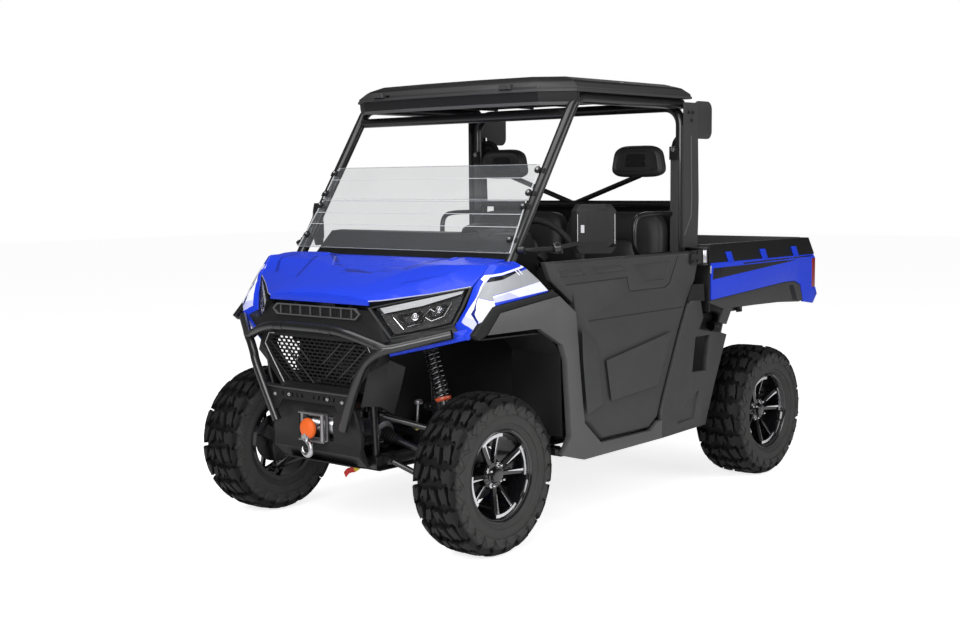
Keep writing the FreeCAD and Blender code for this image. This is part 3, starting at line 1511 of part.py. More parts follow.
bed_front = 528.0
bed_rear = 1570.0
bed_floor = 862.0
bed_sheet = 8.0
runner_rear = 1395.0
pivot_pin = 11.0
ear_inner = 356.0
ear_thickness = 8.0
ear_half = 25.0
rest_y = 560.0
gate_thickness = 28.0
gate_axis_y = 1590.0
gate_axis_z = 870.0
gate_half = 634.0
gate_pin = 5.0
gate_barrel = 10.0
gate_ear_x = 362.0
gate_barrel_length = 40.0
bed_relief = 5.0
bed_wall_depth = 85.0
bed_outer = body_half - bed_relief
bed_inner = bed_outer - bed_wall_depth
bed_top = 1192.0
skirt_base = 1105.0
pivot_y = 1440.0
pivot_z = 808.0
runner_half = 20.0
runner_height = 26.0
bed_rail_share = [(0.0, 1.0), (0.6, 1.0), (1.0, 0.06), (1.0, 0.0), (0.9, 0.0), (0.52, 0.91), (0.0, 0.91)]
bed_flare_share = [
    (0.017, 0.259), (0.697, 0.45), (0.796, 0.447), (0.86, 0.35), (0.89, 0.02), (0.85, -0.01), (0.64, 0.04),
    (0.25, 0.06), (0.205, 0.06), (0.155, -0.26), (0.097, -0.205), (0.132, 0.06), (-0.01, 0.237),
]
bed_blue_share = [
    (0.012, 1.0), (0.99, 1.0), (1.012, 0.9), (1.012, 0.3), (1.033, 0.117), (0.991, -0.08),
    (0.894, -0.02), (0.866, 0.35), (0.8, 0.457), (0.695, 0.46), (0.017, 0.269),
]
tab_places_share = (0.185, 0.5, 0.808)
tab_half = 24.0


def bed_tub():
    sheet_out = bed_inner + bed_sheet
    floor = block(-sheet_out, sheet_out, bed_front, bed_rear, bed_floor, bed_floor + bed_sheet)
    front = block(-sheet_out, sheet_out, bed_front, bed_front + bed_sheet, bed_floor, bed_top)
    wall = block(bed_inner, sheet_out, bed_front, bed_rear, bed_floor, bed_top)
    rail = slab("y", spread(bed_rail_share, bed_inner, bed_outer - 2.0, skirt_base, bed_top), bed_front, bed_rear)
    runner = block(bed_rail_offset - runner_half, bed_rail_offset + runner_half, bed_front, runner_rear, bed_floor - runner_height, bed_floor)
    ear = block(ear_inner, ear_inner + ear_thickness, pivot_y - ear_half, pivot_y + ear_half, pivot_z - ear_half, bed_floor)
    ear = ear.cut(across(ear_inner - overrun, ear_inner + ear_thickness + overrun, pivot_y, pivot_z, pivot_pin + spindle_fit))
    gate_ear = block(gate_ear_x, gate_ear_x + ear_thickness, bed_rear - bed_sheet * 2, gate_axis_y + gate_barrel, gate_axis_z - gate_barrel, gate_axis_z + gate_barrel)
    gate_rod = across(gate_ear_x - gate_barrel_length / 2, gate_ear_x, gate_axis_y, gate_axis_z, gate_pin)
    stake = block(bed_inner, bed_outer - 2.0, bed_front, bed_front + bed_sheet, bed_floor + bed_sheet, bed_top)
    half = [wall, rail, runner, ear, gate_ear, gate_rod, stake]
    return fused([floor, front] + half + [mirrored(part) for part in half])


def bed_outline(table):
    return spread(table, bed_front, bed_rear, bed_floor, skirt_base - seat_gap)


def bed_side_panels():
    panel = slab("x", bed_outline(bed_blue_share), bed_outer - pane_thickness * 4, bed_outer)
    panel = panel.cut(lamp_block(seat_gap))
    parts = [panel]
    for share in tab_places_share:
        y = bed_front + share * (bed_rear - bed_front)
        low = skirt_base - panel_skin / 2
        high = skirt_base + tab_half * 2
        lean = (bed_top - high) / (bed_top - skirt_base) * (bed_outer - bed_inner) * 0.4
        outline = [(bed_outer - 1.5, low), (bed_outer + panel_skin, low), (bed_outer - 1.5 + panel_skin - tab_half * 0.72, high), (bed_outer - 1.5 - tab_half * 0.72, high)]
        parts.append(slab("y", outline, y - tab_half, y + tab_half))
    shape = fused(parts)
    return pair(shape.cut(bed_tub()))


def bed_flares():
    flare = slab("x", bed_outline(bed_flare_share), bed_outer - pane_thickness * 4, bed_outer - panel_skin / 2)
    return pair(flare.cut(bed_side_panels()).cut(bed_tub()))


lamp_low = 928.0
lamp_high = 1083.0
lamp_front = 1545.0
lamp_rear = 1586.0


def lamp_block(grow):
    x0 = bed_inner + bed_sheet + seat_gap
    return block(x0 - grow, bed_outer + grow, lamp_front - grow, lamp_rear + grow + overrun, lamp_low - grow, lamp_high + grow)


def tail_lamps():
    x0 = bed_inner + bed_sheet + seat_gap
    lamp = block(x0, bed_outer - seat_gap, lamp_front, lamp_rear, lamp_low, lamp_high)
    return pair(lamp.makeFillet(panel_skin, [edge for edge in lamp.Edges if edge.BoundBox.YMin > lamp_rear - 1.0]))


def tailgate():
    y0 = gate_axis_y - gate_thickness / 2
    y1 = gate_axis_y + gate_thickness / 2
    plate = block(-gate_half, gate_half, y0, y1, gate_axis_z + 4.0, bed_top)
    recess = block(-gate_half * 0.8, gate_half * 0.8, y1 - pocket_depth, y1 + overrun, gate_axis_z + gate_half * 0.12, bed_top - gate_half * 0.12)
    handle = block(-gate_half * 0.14, gate_half * 0.14, y1 - pocket_depth * 2, y1, bed_top - gate_half * 0.1, bed_top - gate_half * 0.04)
    barrel_end = gate_ear_x - 2.0
    barrel_rod = across(barrel_end - gate_barrel_length, barrel_end, gate_axis_y, gate_axis_z, gate_barrel)
    bore = across(barrel_end - gate_barrel_length / 2 - 3.0, gate_ear_x, gate_axis_y, gate_axis_z, gate_pin + spindle_fit)
    notch = across(barrel_end, gate_ear_x + ear_thickness + moving_gap, gate_axis_y, gate_axis_z, gate_barrel * 2.2)
    shape = plate.cut(Part.makeCompound([recess, handle, notch, mirrored(notch)]))
    return fused([shape, barrel_rod, mirrored(barrel_rod)]).cut(bore).cut(mirrored(bore))


tongue_half = 38.0
tongue_end = 1500.0
tongue_lift = 10.0
tongue_thickness = 16.0
tow_hole_y = 1465.0
tow_hole_radius = 12.5


def hitch():
    low = belly_height + skid_thickness + tongue_lift
    tongue = block(-tongue_half, tongue_half, frame_rear + seat_gap, tongue_end, low, low + tongue_thickness)
    bore = block_rod(0.0, tow_hole_y, low - overrun, low + tongue_thickness + overrun, tow_hole_radius)
    return tongue.cut(bore)


def main():
    nodes = {}
    nodes.update(wheel_nodes())
    nodes.update(knuckle_nodes())
    nodes["steering_rack"] = steering_rack()
    nodes["control_arms"] = control_arms()
    nodes["shock_absorbers"] = shock_absorbers()
    nodes["coil_springs"] = coil_springs()
    nodes["half_shafts"] = half_shafts()
    nodes["front_differential"] = front_differential()
    for make in (chassis_frame, frame_towers, engine_block, muffler, skid_plates, cab_floor, rear_wall, seat_box, seat_cushions, seat_backs, headrests, seat_tubes,
                 seat_belts, dashboard, steering_wheel, hood, front_fenders, nose_fascia, grille, radiator, headlamp_housings,
                 headlamp_lenses, bumper_guard, bumper_skid, winch, winch_hook, windshield_panes, cage_front, cage_rear,
                 pillar_cladding, roof, mirrors, side_panels, rear_side_panels, wheel_liners, bed_tub, bed_side_panels, bed_flares,
                 tail_lamps, tailgate, hitch):
        nodes[make.__name__] = make()
    left = door_left()
    nodes["door_left"] = left
    nodes["door_right"] = mirrored(left)
    os.makedirs("parts", exist_ok=True)
    for name, shape in nodes.items():
        placed = solids_of(shape)
        placed.translate(Vector(0, length_shift, 0))
        placed.exportStep("parts/" + name + ".step")
        print(name, len(placed.Solids), placed.isValid(), [round(v) for v in (
            placed.BoundBox.XMin, placed.BoundBox.XMax, placed.BoundBox.YMin,
            placed.BoundBox.YMax, placed.BoundBox.ZMin, placed.BoundBox.ZMax)])


main()
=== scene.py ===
import json
import math
import bpy
from mathutils import Matrix, Vector


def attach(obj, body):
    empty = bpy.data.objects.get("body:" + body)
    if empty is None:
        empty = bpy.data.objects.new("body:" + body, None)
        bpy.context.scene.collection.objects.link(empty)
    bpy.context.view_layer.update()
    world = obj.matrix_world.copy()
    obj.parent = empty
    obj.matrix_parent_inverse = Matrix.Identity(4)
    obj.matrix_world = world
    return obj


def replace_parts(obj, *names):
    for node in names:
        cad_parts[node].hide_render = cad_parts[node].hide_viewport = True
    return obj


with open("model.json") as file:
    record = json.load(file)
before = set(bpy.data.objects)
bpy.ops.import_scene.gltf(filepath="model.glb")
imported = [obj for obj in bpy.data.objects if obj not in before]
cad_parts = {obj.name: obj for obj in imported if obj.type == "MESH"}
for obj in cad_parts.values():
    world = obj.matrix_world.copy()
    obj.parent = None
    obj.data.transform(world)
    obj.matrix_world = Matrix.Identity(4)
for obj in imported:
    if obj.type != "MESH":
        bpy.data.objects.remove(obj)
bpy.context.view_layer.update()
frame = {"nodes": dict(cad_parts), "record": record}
print("frame loaded")

shiftY = -90.5  # the drawing's middle of the wheelbase lies this far from the frame's origin, in mm


def at(x, y, z):  # a measured point, in mm about the middle of the wheelbase
    return Vector((x, y + shiftY, z)) / 1000


# view and light

# where the camera stands and looks, in mm and radians
view = {"lens": 52.39, "place": (4327.8, -5222.5, 1500.1), "turn": 0.7213, "dip": 0.098, "roll": -0.0092}


def makeCamera():
    turn, dip, roll = view["turn"], view["dip"], view["roll"]
    back = Vector((math.sin(turn) * math.cos(dip), -math.cos(turn) * math.cos(dip), math.sin(dip)))
    right = Vector((math.cos(turn), math.sin(turn), 0))
    up = back.cross(right)
    level, tilt = math.cos(roll), math.sin(roll)
    side = level * right + tilt * up
    top = level * up - tilt * right
    camera = bpy.data.objects.new("camera", bpy.data.cameras.new("camera"))
    camera.data.lens = view["lens"]
    camera.data.sensor_width = 36
    rows = [list(trio) + [spot] for trio, spot in zip(zip(side, top, back), at(*view["place"]))]
    camera.matrix_world = Matrix(rows + [[0, 0, 0, 1]])
    bpy.context.collection.objects.link(camera)
    bpy.context.scene.camera = camera


lamps = {  # in metres and watts
    "overhead": {"spot": (0.4, -1.6, 4.4), "size": (3.6, 3.6), "power": 120},
    "front": {"spot": (2.2, -5.0, 2.6), "size": (3.2, 2.4), "power": 165},
    "side": {"spot": (5.2, 0.8, 2.4), "size": (3.6, 2.6), "power": 95},
    "rear": {"spot": (-3.2, 4.0, 3.0), "size": (3.0, 2.0), "power": 30},
}
sheen = {"light": 0.24, "gloss": 0.1, "seen": 1.0}  # strength of the white surroundings


def makeLights():
    for name, facts in lamps.items():
        light = bpy.data.lights.new(name, "AREA")
        light.shape = "RECTANGLE"
        light.size, light.size_y = facts["size"]
        light.energy = facts["power"]
        lamp = bpy.data.objects.new(name, light)
        lamp.location = facts["spot"]
        lamp.rotation_euler = (Vector(facts["spot"]) - Vector((0, 0, 0.8))).to_track_quat("Z", "Y").to_euler()
        bpy.context.collection.objects.link(lamp)
    sky = bpy.data.worlds.new("sky")
    sky.use_nodes = True
    tree = sky.node_tree
    seen = tree.nodes.new("ShaderNodeLightPath")
    mirrored, straight = tree.nodes.new("ShaderNodeMapRange"), tree.nodes.new("ShaderNodeMapRange")
    mirrored.inputs["To Min"].default_value = sheen["light"]
    mirrored.inputs["To Max"].default_value = sheen["gloss"]
    straight.inputs["To Max"].default_value = sheen["seen"]
    tree.links.new(seen.outputs["Is Glossy Ray"], mirrored.inputs["Value"])
    tree.links.new(seen.outputs["Is Camera Ray"], straight.inputs["Value"])
    tree.links.new(mirrored.outputs["Result"], straight.inputs["To Min"])
    tree.nodes["Background"].inputs["Color"].default_value = (1, 1, 1, 1)
    tree.links.new(straight.outputs["Result"], tree.nodes["Background"].inputs["Strength"])
    bpy.context.scene.world = sky
    bpy.context.scene.view_settings.view_transform = "Standard"


# shader tools


class Flow:  # one shader socket, used like a number
    def __init__(self, finish, socket):
        self.finish, self.socket = finish, socket

    def sum(self, operation, *others):
        return self.finish.node("ShaderNodeMath", {"operation": operation}, dict(enumerate((self, *others))))

    def __add__(self, other):
        return self.sum("ADD", other)

    def __sub__(self, other):
        return self.sum("SUBTRACT", other)

    def __rsub__(self, other):
        return self.finish.node("ShaderNodeMath", {"operation": "SUBTRACT"}, {0: other, 1: self})

    def __mul__(self, other):
        return self.sum("MULTIPLY", other)

    def __gt__(self, other):
        return self.sum("GREATER_THAN", other)

    def __lt__(self, other):
        return self.sum("LESS_THAN", other)

    def clamped(self):
        return self.finish.node("ShaderNodeClamp", sockets={"Value": self})

    def __abs__(self):
        return self.sum("ABSOLUTE")

    __radd__ = __add__
    __rmul__ = __mul__


class Finish:  # one material and the nodes behind it
    def __init__(self, name, colour, roughness, **fixed):
        self.material = bpy.data.materials.new(name)
        self.material.use_nodes = True
        self.tree = self.material.node_tree
        self.shader = self.tree.nodes["Principled BSDF"]
        self.colour, self.roughness = colour, roughness
        self.set("Base Color", colour)
        self.set("Roughness", roughness)
        for words, value in fixed.items():
            self.set(words.replace("_", " ").title().replace("Ior", "IOR"), value)

    def set(self, name, value):
        socket = self.shader.inputs[name]
        if isinstance(value, Flow):
            self.tree.links.new(value.socket, socket)
        else:
            socket.default_value = (*value, 1) if isinstance(value, tuple) and len(value) == 3 else value

    def node(self, kind, settings=None, sockets=None, out=0):
        made = self.tree.nodes.new(kind)
        for name, value in (settings or {}).items():
            if name == "stops":
                for number, (spot, shade) in enumerate(value):
                    ramp = made.color_ramp.elements
                    stop = ramp[number] if number < len(ramp) else ramp.new(spot)
                    stop.position, stop.color = spot, (*shade, 1)
            else:
                setattr(made, name, value)
        for name, value in (sockets or {}).items():
            socket = made.inputs[name]
            if isinstance(value, Flow):
                self.tree.links.new(value.socket, socket)
            elif isinstance(value, tuple) and socket.type == "RGBA":
                socket.default_value = (*value, 1)
            else:
                socket.default_value = value
        return Flow(self, made.outputs[out])

    def place(self):
        return self.node("ShaderNodeTexCoord", out="Object")

    def axes(self, spot=None):
        apart = self.node("ShaderNodeSeparateXYZ", sockets={0: spot or self.place()})
        return [Flow(self, apart.socket.node.outputs[name]) for name in "XYZ"]

    def noise(self, scale, detail=3.0, spot=None):
        facts = {"Vector": spot or self.place(), "Scale": scale, "Detail": detail}
        return self.node("ShaderNodeTexNoise", sockets=facts)

    def cells(self, scale, feature="F1"):
        return self.node("ShaderNodeTexVoronoi", {"feature": feature},
                         {"Vector": self.place(), "Scale": scale})

    def mix(self, share, first, second):
        return self.node("ShaderNodeMix", {"data_type": "RGBA"}, {0: share, 6: first, 7: second}, out=2)

    def bump(self, height, strength, distance):
        facts = {"Height": height, "Strength": strength, "Distance": distance}
        self.set("Normal", self.node("ShaderNodeBump", sockets=facts))

    def vary(self, scale, spread, shade):  # slow changes of colour and gloss
        slow = self.noise(scale, 4.0)
        self.set("Roughness", slow * spread + (self.roughness - spread / 2))
        darker = tuple(part * shade for part in self.colour)
        self.set("Base Color", self.mix(slow, self.colour, darker))


finishes = {}  # every material by its name


def inside(finish, u, v, corners, soft=0.0004):  # 1 within a convex outline, 0 outside, with a soft border
    turn = sum(a * d - b * c for (a, b), (c, d) in zip(corners, corners[1:] + corners[:1]))
    mask = None
    for (a, b), (c, d) in zip(corners, corners[1:] + corners[:1]):
        scale = (1 if turn < 0 else -1) / math.hypot(c - a, d - b) / soft
        part = ((u - a) * ((d - b) * scale) - (v - b) * ((c - a) * scale)).clamped()
        mask = part if mask is None else mask * part
    return mask


print("tools ready")


# finishes

shades = {
    "blue": (0.014, 0.05, 0.66),
    "grey": (0.046, 0.046, 0.047),
    # panel: a lighter grey than grey, painted light where light falls on the side panels
    "panel": (0.09, 0.09, 0.091),
    "flare": (0.048, 0.047, 0.047),
    "black": (0.0085, 0.0085, 0.009),
    "silver": (0.72, 0.72, 0.74),
    "white": (0.82, 0.83, 0.92),
    "stripe": (0.34, 0.35, 0.37),
    "lilac": (0.55, 0.57, 0.88),
    # fold: painted shade for the bonnet's facets that lie in shade
    "fold": (0.008, 0.026, 0.33),
    # ink: the decals' dark print, also the painted shade in the flare's slot
    "inkAndSlotShade": (0.012, 0.012, 0.016),
    "shadow": (0.006, 0.014, 0.16),
}


def moulded(name, colour, roughness, grain=900.0, height=0.0004):  # grained plastic
    finish = Finish(name, colour, roughness, specular_ior_level=0.3)
    finish.vary(6.0, 0.12, 0.8)
    finish.bump(finish.cells(grain) * 0.6 + finish.noise(grain * 0.4) * 0.4, 0.35, height)
    finishes[name] = finish.material
    return finish


def painted(name, colour, roughness, coat):  # smooth enamel or powder coat
    finish = Finish(name, colour, roughness, coat_roughness=0.06)
    finish.set("Coat Weight", coat)
    finish.vary(3.0, 0.06, 0.9)
    finish.bump(finish.noise(260.0, 2.0), 0.04, 0.0006)
    finishes[name] = finish.material
    return finish


def metal(name, colour, roughness, grain=120.0, depth=0.0003, strength=0.2):
    finish = Finish(name, colour, roughness, metallic=1.0)
    finish.vary(14.0, 0.16, 0.8)
    finish.bump(finish.noise(grain, 5.0), strength, depth)
    finishes[name] = finish.material
    return finish


fenderSide = [  # painted shapes on the fender's side, as a shade and (y, z) corners in mm
    ("white", [(-1093, 1047), (-745, 1097), (-693, 1057), (-1055, 1026)]),
    ("lilac", [(-1055, 1026), (-1080, 1040), (-960, 1062), (-900, 1040)]),
    ("stripe", [(-1070, 1052), (-1062, 1099), (-1034, 1118), (-817, 1148), (-745, 1097)]),
    ("white", [(-1066, 1105), (-1036, 1133), (-1032, 1124), (-1060, 1097)]),
    ("white", [(-1036, 1133), (-812, 1165), (-812, 1158), (-1032, 1125)]),
    ("inkAndSlotShade", [(-1058, 1098), (-1032, 1124), (-812, 1157), (-800, 1141), (-1000, 1112)]),
    ("white", [(-905, 1152), (-897, 1152), (-880, 1126), (-888, 1126)]),
    ("white", [(-885, 1154), (-877, 1154), (-860, 1128), (-868, 1128)]),
]
fenderFront = [  # the same on its forward face, as (x, z)
    ("white", [(640, 951), (677, 1050), (760, 1028), (760, 905), (733, 912)]),
    ("lilac", [(640, 951), (650, 978), (760, 950), (760, 905), (733, 912)]),
    ("stripe", [(677, 1051), (686, 1099), (688, 1130), (760, 1130), (760, 1029)]),
    ("white", [(675, 1048), (682, 1092), (688, 1092), (683, 1046)]),
    ("white", [(682, 1090), (680, 1132), (688, 1132), (688, 1090)]),
    ("inkAndSlotShade", [(688, 1104), (689, 1130), (760, 1130), (760, 1116)]),
    ("shadow", [(682, 1048), (688, 1047), (698, 1003), (692, 1003)]),
    ("shadow", [(692, 1006), (699, 1006), (701, 984), (686, 984)]),
    ("shadow", [(686, 985), (701, 986), (722, 955), (713, 951)]),
    ("shadow", [(713, 957), (721, 958), (727, 925), (723, 922)]),
]
bedMarks = [  # the same on the bed's side panel, as (y, z), with a painted highlight along its front edge
    ("inkAndSlotShade", [(550, 983), (562, 1080), (1440, 1086), (1325, 1078)]),
    ("inkAndSlotShade", [(840, 1086), (1540, 1093), (1544, 1100), (840, 1094)]),
    ("blue", [(1290, 1082), (1300, 1082), (1320, 1102), (1310, 1102)]),
    ("blue", [(1320, 1082), (1330, 1082), (1350, 1102), (1340, 1102)]),
    # painted highlight along the panel's front edge
    ("white", [(534, 975), (538, 975), (544, 1092), (540, 1092)]),
]
# the flare's slot, painted dark as painted shade for its inside
flareSlotShade = [("inkAndSlotShade", [(1306, 952), (1352, 954), (1400, 868), (1345, 872)])]
hoodHollow = [  # the sunk middle of the bonnet, as (x, y) corners in mm
    [(-370, -870), (370, -870), (222, -1035), (-222, -1035)],
    [(-150, -1030), (150, -1030), (100, -1106), (-100, -1106)],
]
hoodShadeFacets = [  # its facets that lie in shade, coloured darker as painted shade
    [(-112, -1062), (-58, -1104), (100, -1109), (96, -1094), (-20, -1066)],
    [(118, -1092), (150, -1068), (196, -1060), (190, -1074)],
    [(-402, -890), (-226, -1012), (-200, -1002), (-346, -890)],
    [(228, -1050), (342, -887), (372, -890), (250, -1062)],
    [(-536, -1099), (-600, -1019), (-583, -1012), (-512, -1092)],
    [(-600, -1020), (-562, -930), (-540, -934), (-580, -1016)],
    [(-313, -1172), (-420, -947), (-398, -947), (-297, -1166)],
    [(-218, -1022), (-108, -1062), (-104, -1054), (-206, -1014)],
    [(330, -1180), (560, -1020), (566, -1010), (340, -1160)],
]


def paintMarks(finish, colour, marks, front=()):  # marks on the side, and others on the forward face
    x, y, z = finish.axes()
    nose = y < at(0, -1052, 0).y
    for shade, outline in marks:
        spots = [at(0, a, b) for a, b in outline]
        mask = inside(finish, y, z, [(spot.y, spot.z) for spot in spots])
        colour = finish.mix(mask * (1 - nose) if front else mask, colour, shades[shade])
    for shade, outline in front:
        mask = inside(finish, abs(x), z, [(a / 1000, b / 1000) for a, b in outline])
        colour = finish.mix(mask * nose, colour, shades[shade])
    return colour


def makeBlue(name, marks=(), front=(), hollow=()):  # glossy blue, with marks, or a sunk middle with painted shade on its facets
    finish = Finish(name, shades["blue"], 0.22, coat_roughness=0.03, specular_ior_level=0.16)
    finish.set("Coat Weight", 0.12)
    slow = finish.noise(3.0, 3.0)
    finish.set("Roughness", slow * 0.08 + 0.24)
    colour = finish.mix(slow, shades["blue"], tuple(part * 0.88 for part in shades["blue"]))
    height = finish.noise(180.0, 2.0) * 0.004
    if hollow:
        x, y, z = finish.axes()
        for outline in hollow:
            spots = [at(a, b, 0) for a, b in outline]
            height = height - inside(finish, x, y, [(spot.x, spot.y) for spot in spots], 0.01)
        # painted shade: the bonnet's facets that lie in shade take the darker fold colour
        for outline in hoodShadeFacets:
            spots = [at(a, b, 0) for a, b in outline]
            mask = inside(finish, x, y, [(spot.x, spot.y) for spot in spots], 0.004)
            colour = finish.mix(mask, colour, shades["fold"])
    finish.set("Base Color", paintMarks(finish, colour, marks, front) if marks else colour)
    finish.bump(height, 1.0, 0.006 if hollow else 0.0005)
    finishes[name] = finish.material


rubber = {  # radii in metres and colours, clean and dusty, with gap as painted shade between the lugs
    "wallRadius": 0.297, "topRadius": 0.322, "crown": 0.12, "gap": (0.0025, 0.0025, 0.003),
    "top": ((0.006, 0.006, 0.006), (0.017, 0.016, 0.016)),
    "wall": ((0.026, 0.026, 0.026), (0.05, 0.049, 0.048)),
}


def makeRubber():  # painted shade darkens the grooves between the lugs; greyer on their tops and on the sidewall
    finish = Finish("tyreRubber", (0.01, 0.01, 0.0105), 0.72, specular_ior_level=0.3)
    slow = finish.noise(9.0, 5.0)
    x, y, z = finish.axes()
    radius = (y * y + z * z).sum("SQRT")
    wall = ((rubber["wallRadius"] - radius) * 70.0).clamped()
    top = ((radius + abs(x) * rubber["crown"] - rubber["topRadius"]) * 80.0).clamped()
    # painted shade: below the lug tops the gap colour darkens the grooves
    dark = finish.mix(top, rubber["gap"], finish.mix(slow, *rubber["top"]))
    finish.set("Base Color", finish.mix(wall, dark, finish.mix(slow, *rubber["wall"])))
    finish.set("Roughness", slow * 0.2 + 0.6)
    finish.bump(finish.noise(160.0, 6.0) * 0.7 + finish.cells(700.0) * 0.3, 0.4, 0.0006)
    finishes["tyreRubber"] = finish.material


def makeMachined():  # bright metal with the rings that turning leaves
    finish = Finish("machinedSilver", shades["silver"], 0.2, metallic=1.0)
    x, y, z = finish.axes()
    radius = (y * y + z * z).sum("SQRT")
    rings = (radius * 4200.0).sum("SINE")
    finish.set("Roughness", rings * 0.05 + 0.2)
    finish.bump(rings, 0.12, 0.0001)
    finishes["machinedSilver"] = finish.material


def makeClear(name, colour, alpha, shine=0.5):  # clear plastic sheet, seen through
    finish = Finish(name, colour, 0.04, specular_ior_level=shine)
    haze = finish.noise(5.0, 4.0)
    finish.set("Roughness", haze * 0.05 + 0.02)
    finish.set("Alpha", haze * 0.04 + alpha)
    finish.bump(finish.noise(4.0, 2.0), 0.04, 0.002)
    finishes[name] = finish.material


def makeLens():
    makeClear("clearPane", (0.15, 0.16, 0.165), 0.17, 0.3)
    makeClear("paneEdge", (0.8, 0.82, 0.83), 0.62)
    makeClear("lampLens", (0.05, 0.05, 0.055), 0.03, 0.1)
    red = Finish("redLens", (0.5, 0.008, 0.012), 0.14, coat_roughness=0.05)
    x, y, z = red.axes()
    ribs = abs((z * 900.0).sum("SINE"))
    red.set("Base Color", red.mix(ribs, (0.36, 0.006, 0.008), (0.12, 0.001, 0.002)))
    red.set("Coat Weight", 0.3)
    red.bump(ribs, 0.3, 0.0006)
    finishes["redLens"] = red.material


def makeVinyl():  # seat cover with a fine crease pattern
    finish = Finish("seatVinyl", (0.022, 0.022, 0.023), 0.5, specular_ior_level=0.45)
    finish.vary(8.0, 0.14, 0.75)
    creases = finish.cells(420.0, "DISTANCE_TO_EDGE")
    finish.bump(creases * 0.7 + finish.noise(900.0) * 0.3, 0.5, 0.0005)
    finishes["seatVinyl"] = finish.material


def makeWeb():  # woven belt
    finish = Finish("beltWeb", (0.02, 0.02, 0.021), 0.8, sheen_weight=0.4)
    x, y, z = finish.axes()
    warp = abs((x * 2400.0).sum("SINE"))
    weft = abs((z * 2400.0).sum("SINE"))
    finish.set("Base Color", finish.mix(warp * weft, (0.014, 0.014, 0.015), (0.04, 0.04, 0.042)))
    finish.bump(warp * 0.5 + weft * 0.5, 0.6, 0.0006)
    finishes["beltWeb"] = finish.material


plastics = {  # name: colour and roughness, then the grain's scale and depth where they differ
    "greyPlastic": (shades["grey"], 0.52),
    "panelPlastic": (shades["panel"], 0.5),
    "blackPlastic": (shades["black"], 0.5),
    # the nose plastic: a lighter black, painted light for the highlights on the nose and skid
    "nosePlastic": ((0.015, 0.015, 0.0155), 0.48),
    "gripRubber": ((0.016, 0.016, 0.016), 0.68, 500.0, 0.0006),
    "orangeRubber": ((0.8, 0.13, 0.015), 0.5),
    "redMark": ((0.55, 0.02, 0.015), 0.45),
    "whiteLight": ((0.5, 0.51, 0.53), 0.3),
    "lampBlack": ((0.003, 0.003, 0.0035), 0.45, 500.0, 0.0001),
    "yellowWeb": ((0.75, 0.55, 0.04), 0.7),
}
enamels = {  # name: colour, roughness and clear coat
    "silverLine": ((0.5, 0.5, 0.52), 0.3, 0.2),
    "blackSteel": ((0.008, 0.008, 0.009), 0.32, 0.35),
    "alloyBlack": ((0.006, 0.006, 0.007), 0.18, 0.8),
    "springRed": ((0.5, 0.07, 0.02), 0.4, 0.2),
    "bluePin": ((0.03, 0.2, 0.5), 0.3, 0.4),
}
metals = {  # name: colour and roughness, then the grain's scale, depth and strength where they differ
    "bareSteel": ((0.56, 0.56, 0.58), 0.32),
    "castMetal": ((0.34, 0.34, 0.35), 0.52, 300.0, 0.0008, 0.5),
    "chrome": ((0.86, 0.86, 0.88), 0.12, 60.0, 0.0001, 0.05),
    "springSteel": ((0.16, 0.16, 0.165), 0.2),
    "darkCast": ((0.09, 0.09, 0.092), 0.5, 300.0, 0.0008, 0.5),
    "zinc": ((0.55, 0.46, 0.2), 0.35),
}
# painted light and shade on the roof: a dark top with patches, lighter sides below the height in from
roofPaintedShade = {"top": (0.006, 0.006, 0.006), "patch": (0.004, 0.004, 0.004), "side": (0.03, 0.03, 0.03),
              "from": 1.93}


def makeRoofPlastic():  # painted light and shade: darker on top than on its sloping sides, which are painted lighter
    finish = moulded("roofPlastic", (0.007, 0.007, 0.0075), 0.5)
    low = ((roofPaintedShade["from"] - finish.axes()[2]) * 200.0).clamped()
    top = finish.mix(finish.noise(6.0), roofPaintedShade["top"], roofPaintedShade["patch"])
    finish.set("Base Color", finish.mix(low, top, roofPaintedShade["side"]))


def makeFinishes():
    for make, table in ((moulded, plastics), (painted, enamels), (metal, metals)):
        for name, facts in table.items():
            make(name, *facts)
    flare = moulded("flarePlastic", shades["flare"], 0.55)
    # painted shade for the flare's slot
    flare.set("Base Color", paintMarks(flare, shades["flare"], flareSlotShade))
    makeRoofPlastic()
    makeBlue("glossBlue")
    makeBlue("hoodBlue", hollow=hoodHollow)
    makeBlue("fenderBlue", fenderSide, fenderFront)
    makeBlue("bedBlue", bedMarks)
    makeRubber()
    makeMachined()
    makeLens()
    makeVinyl()
    makeWeb()


slotFinish = {  # the finish of each material slot in the record
    "gloss_blue": "glossBlue", "grey_plastic": "greyPlastic", "black_plastic": "blackPlastic",
    "black_steel": "blackSteel", "bare_steel": "bareSteel", "cast_metal": "castMetal",
    "alloy_black": "alloyBlack", "tyre_rubber": "tyreRubber", "clear_pane": "clearPane",
    "lamp_lens": "lampLens", "red_lens": "redLens", "seat_cover": "seatVinyl",
    "belt_web": "beltWeb", "grip_rubber": "gripRubber", "orange_rubber": "orangeRubber",
}
nodeFinish = {  # nodes with a finish of their own
    # the side panels take the lighter panel plastic as painted light
    "bed_flares": "flarePlastic", "side_panels": "panelPlastic", "knuckle_left": "darkCast",
    "knuckle_right": "darkCast", "roof": "roofPlastic", "nose_fascia": "nosePlastic",
    "bumper_skid": "nosePlastic", "winch": "castMetal", "pillar_cladding": "greyPlastic", "hood": "hoodBlue",
    "front_fenders": "fenderBlue", "bed_side_panels": "bedBlue",
}

softEdge = {"width": 0.0015, "segments": 2, "from": 28, "weld": 0.00002}  # metres and degrees


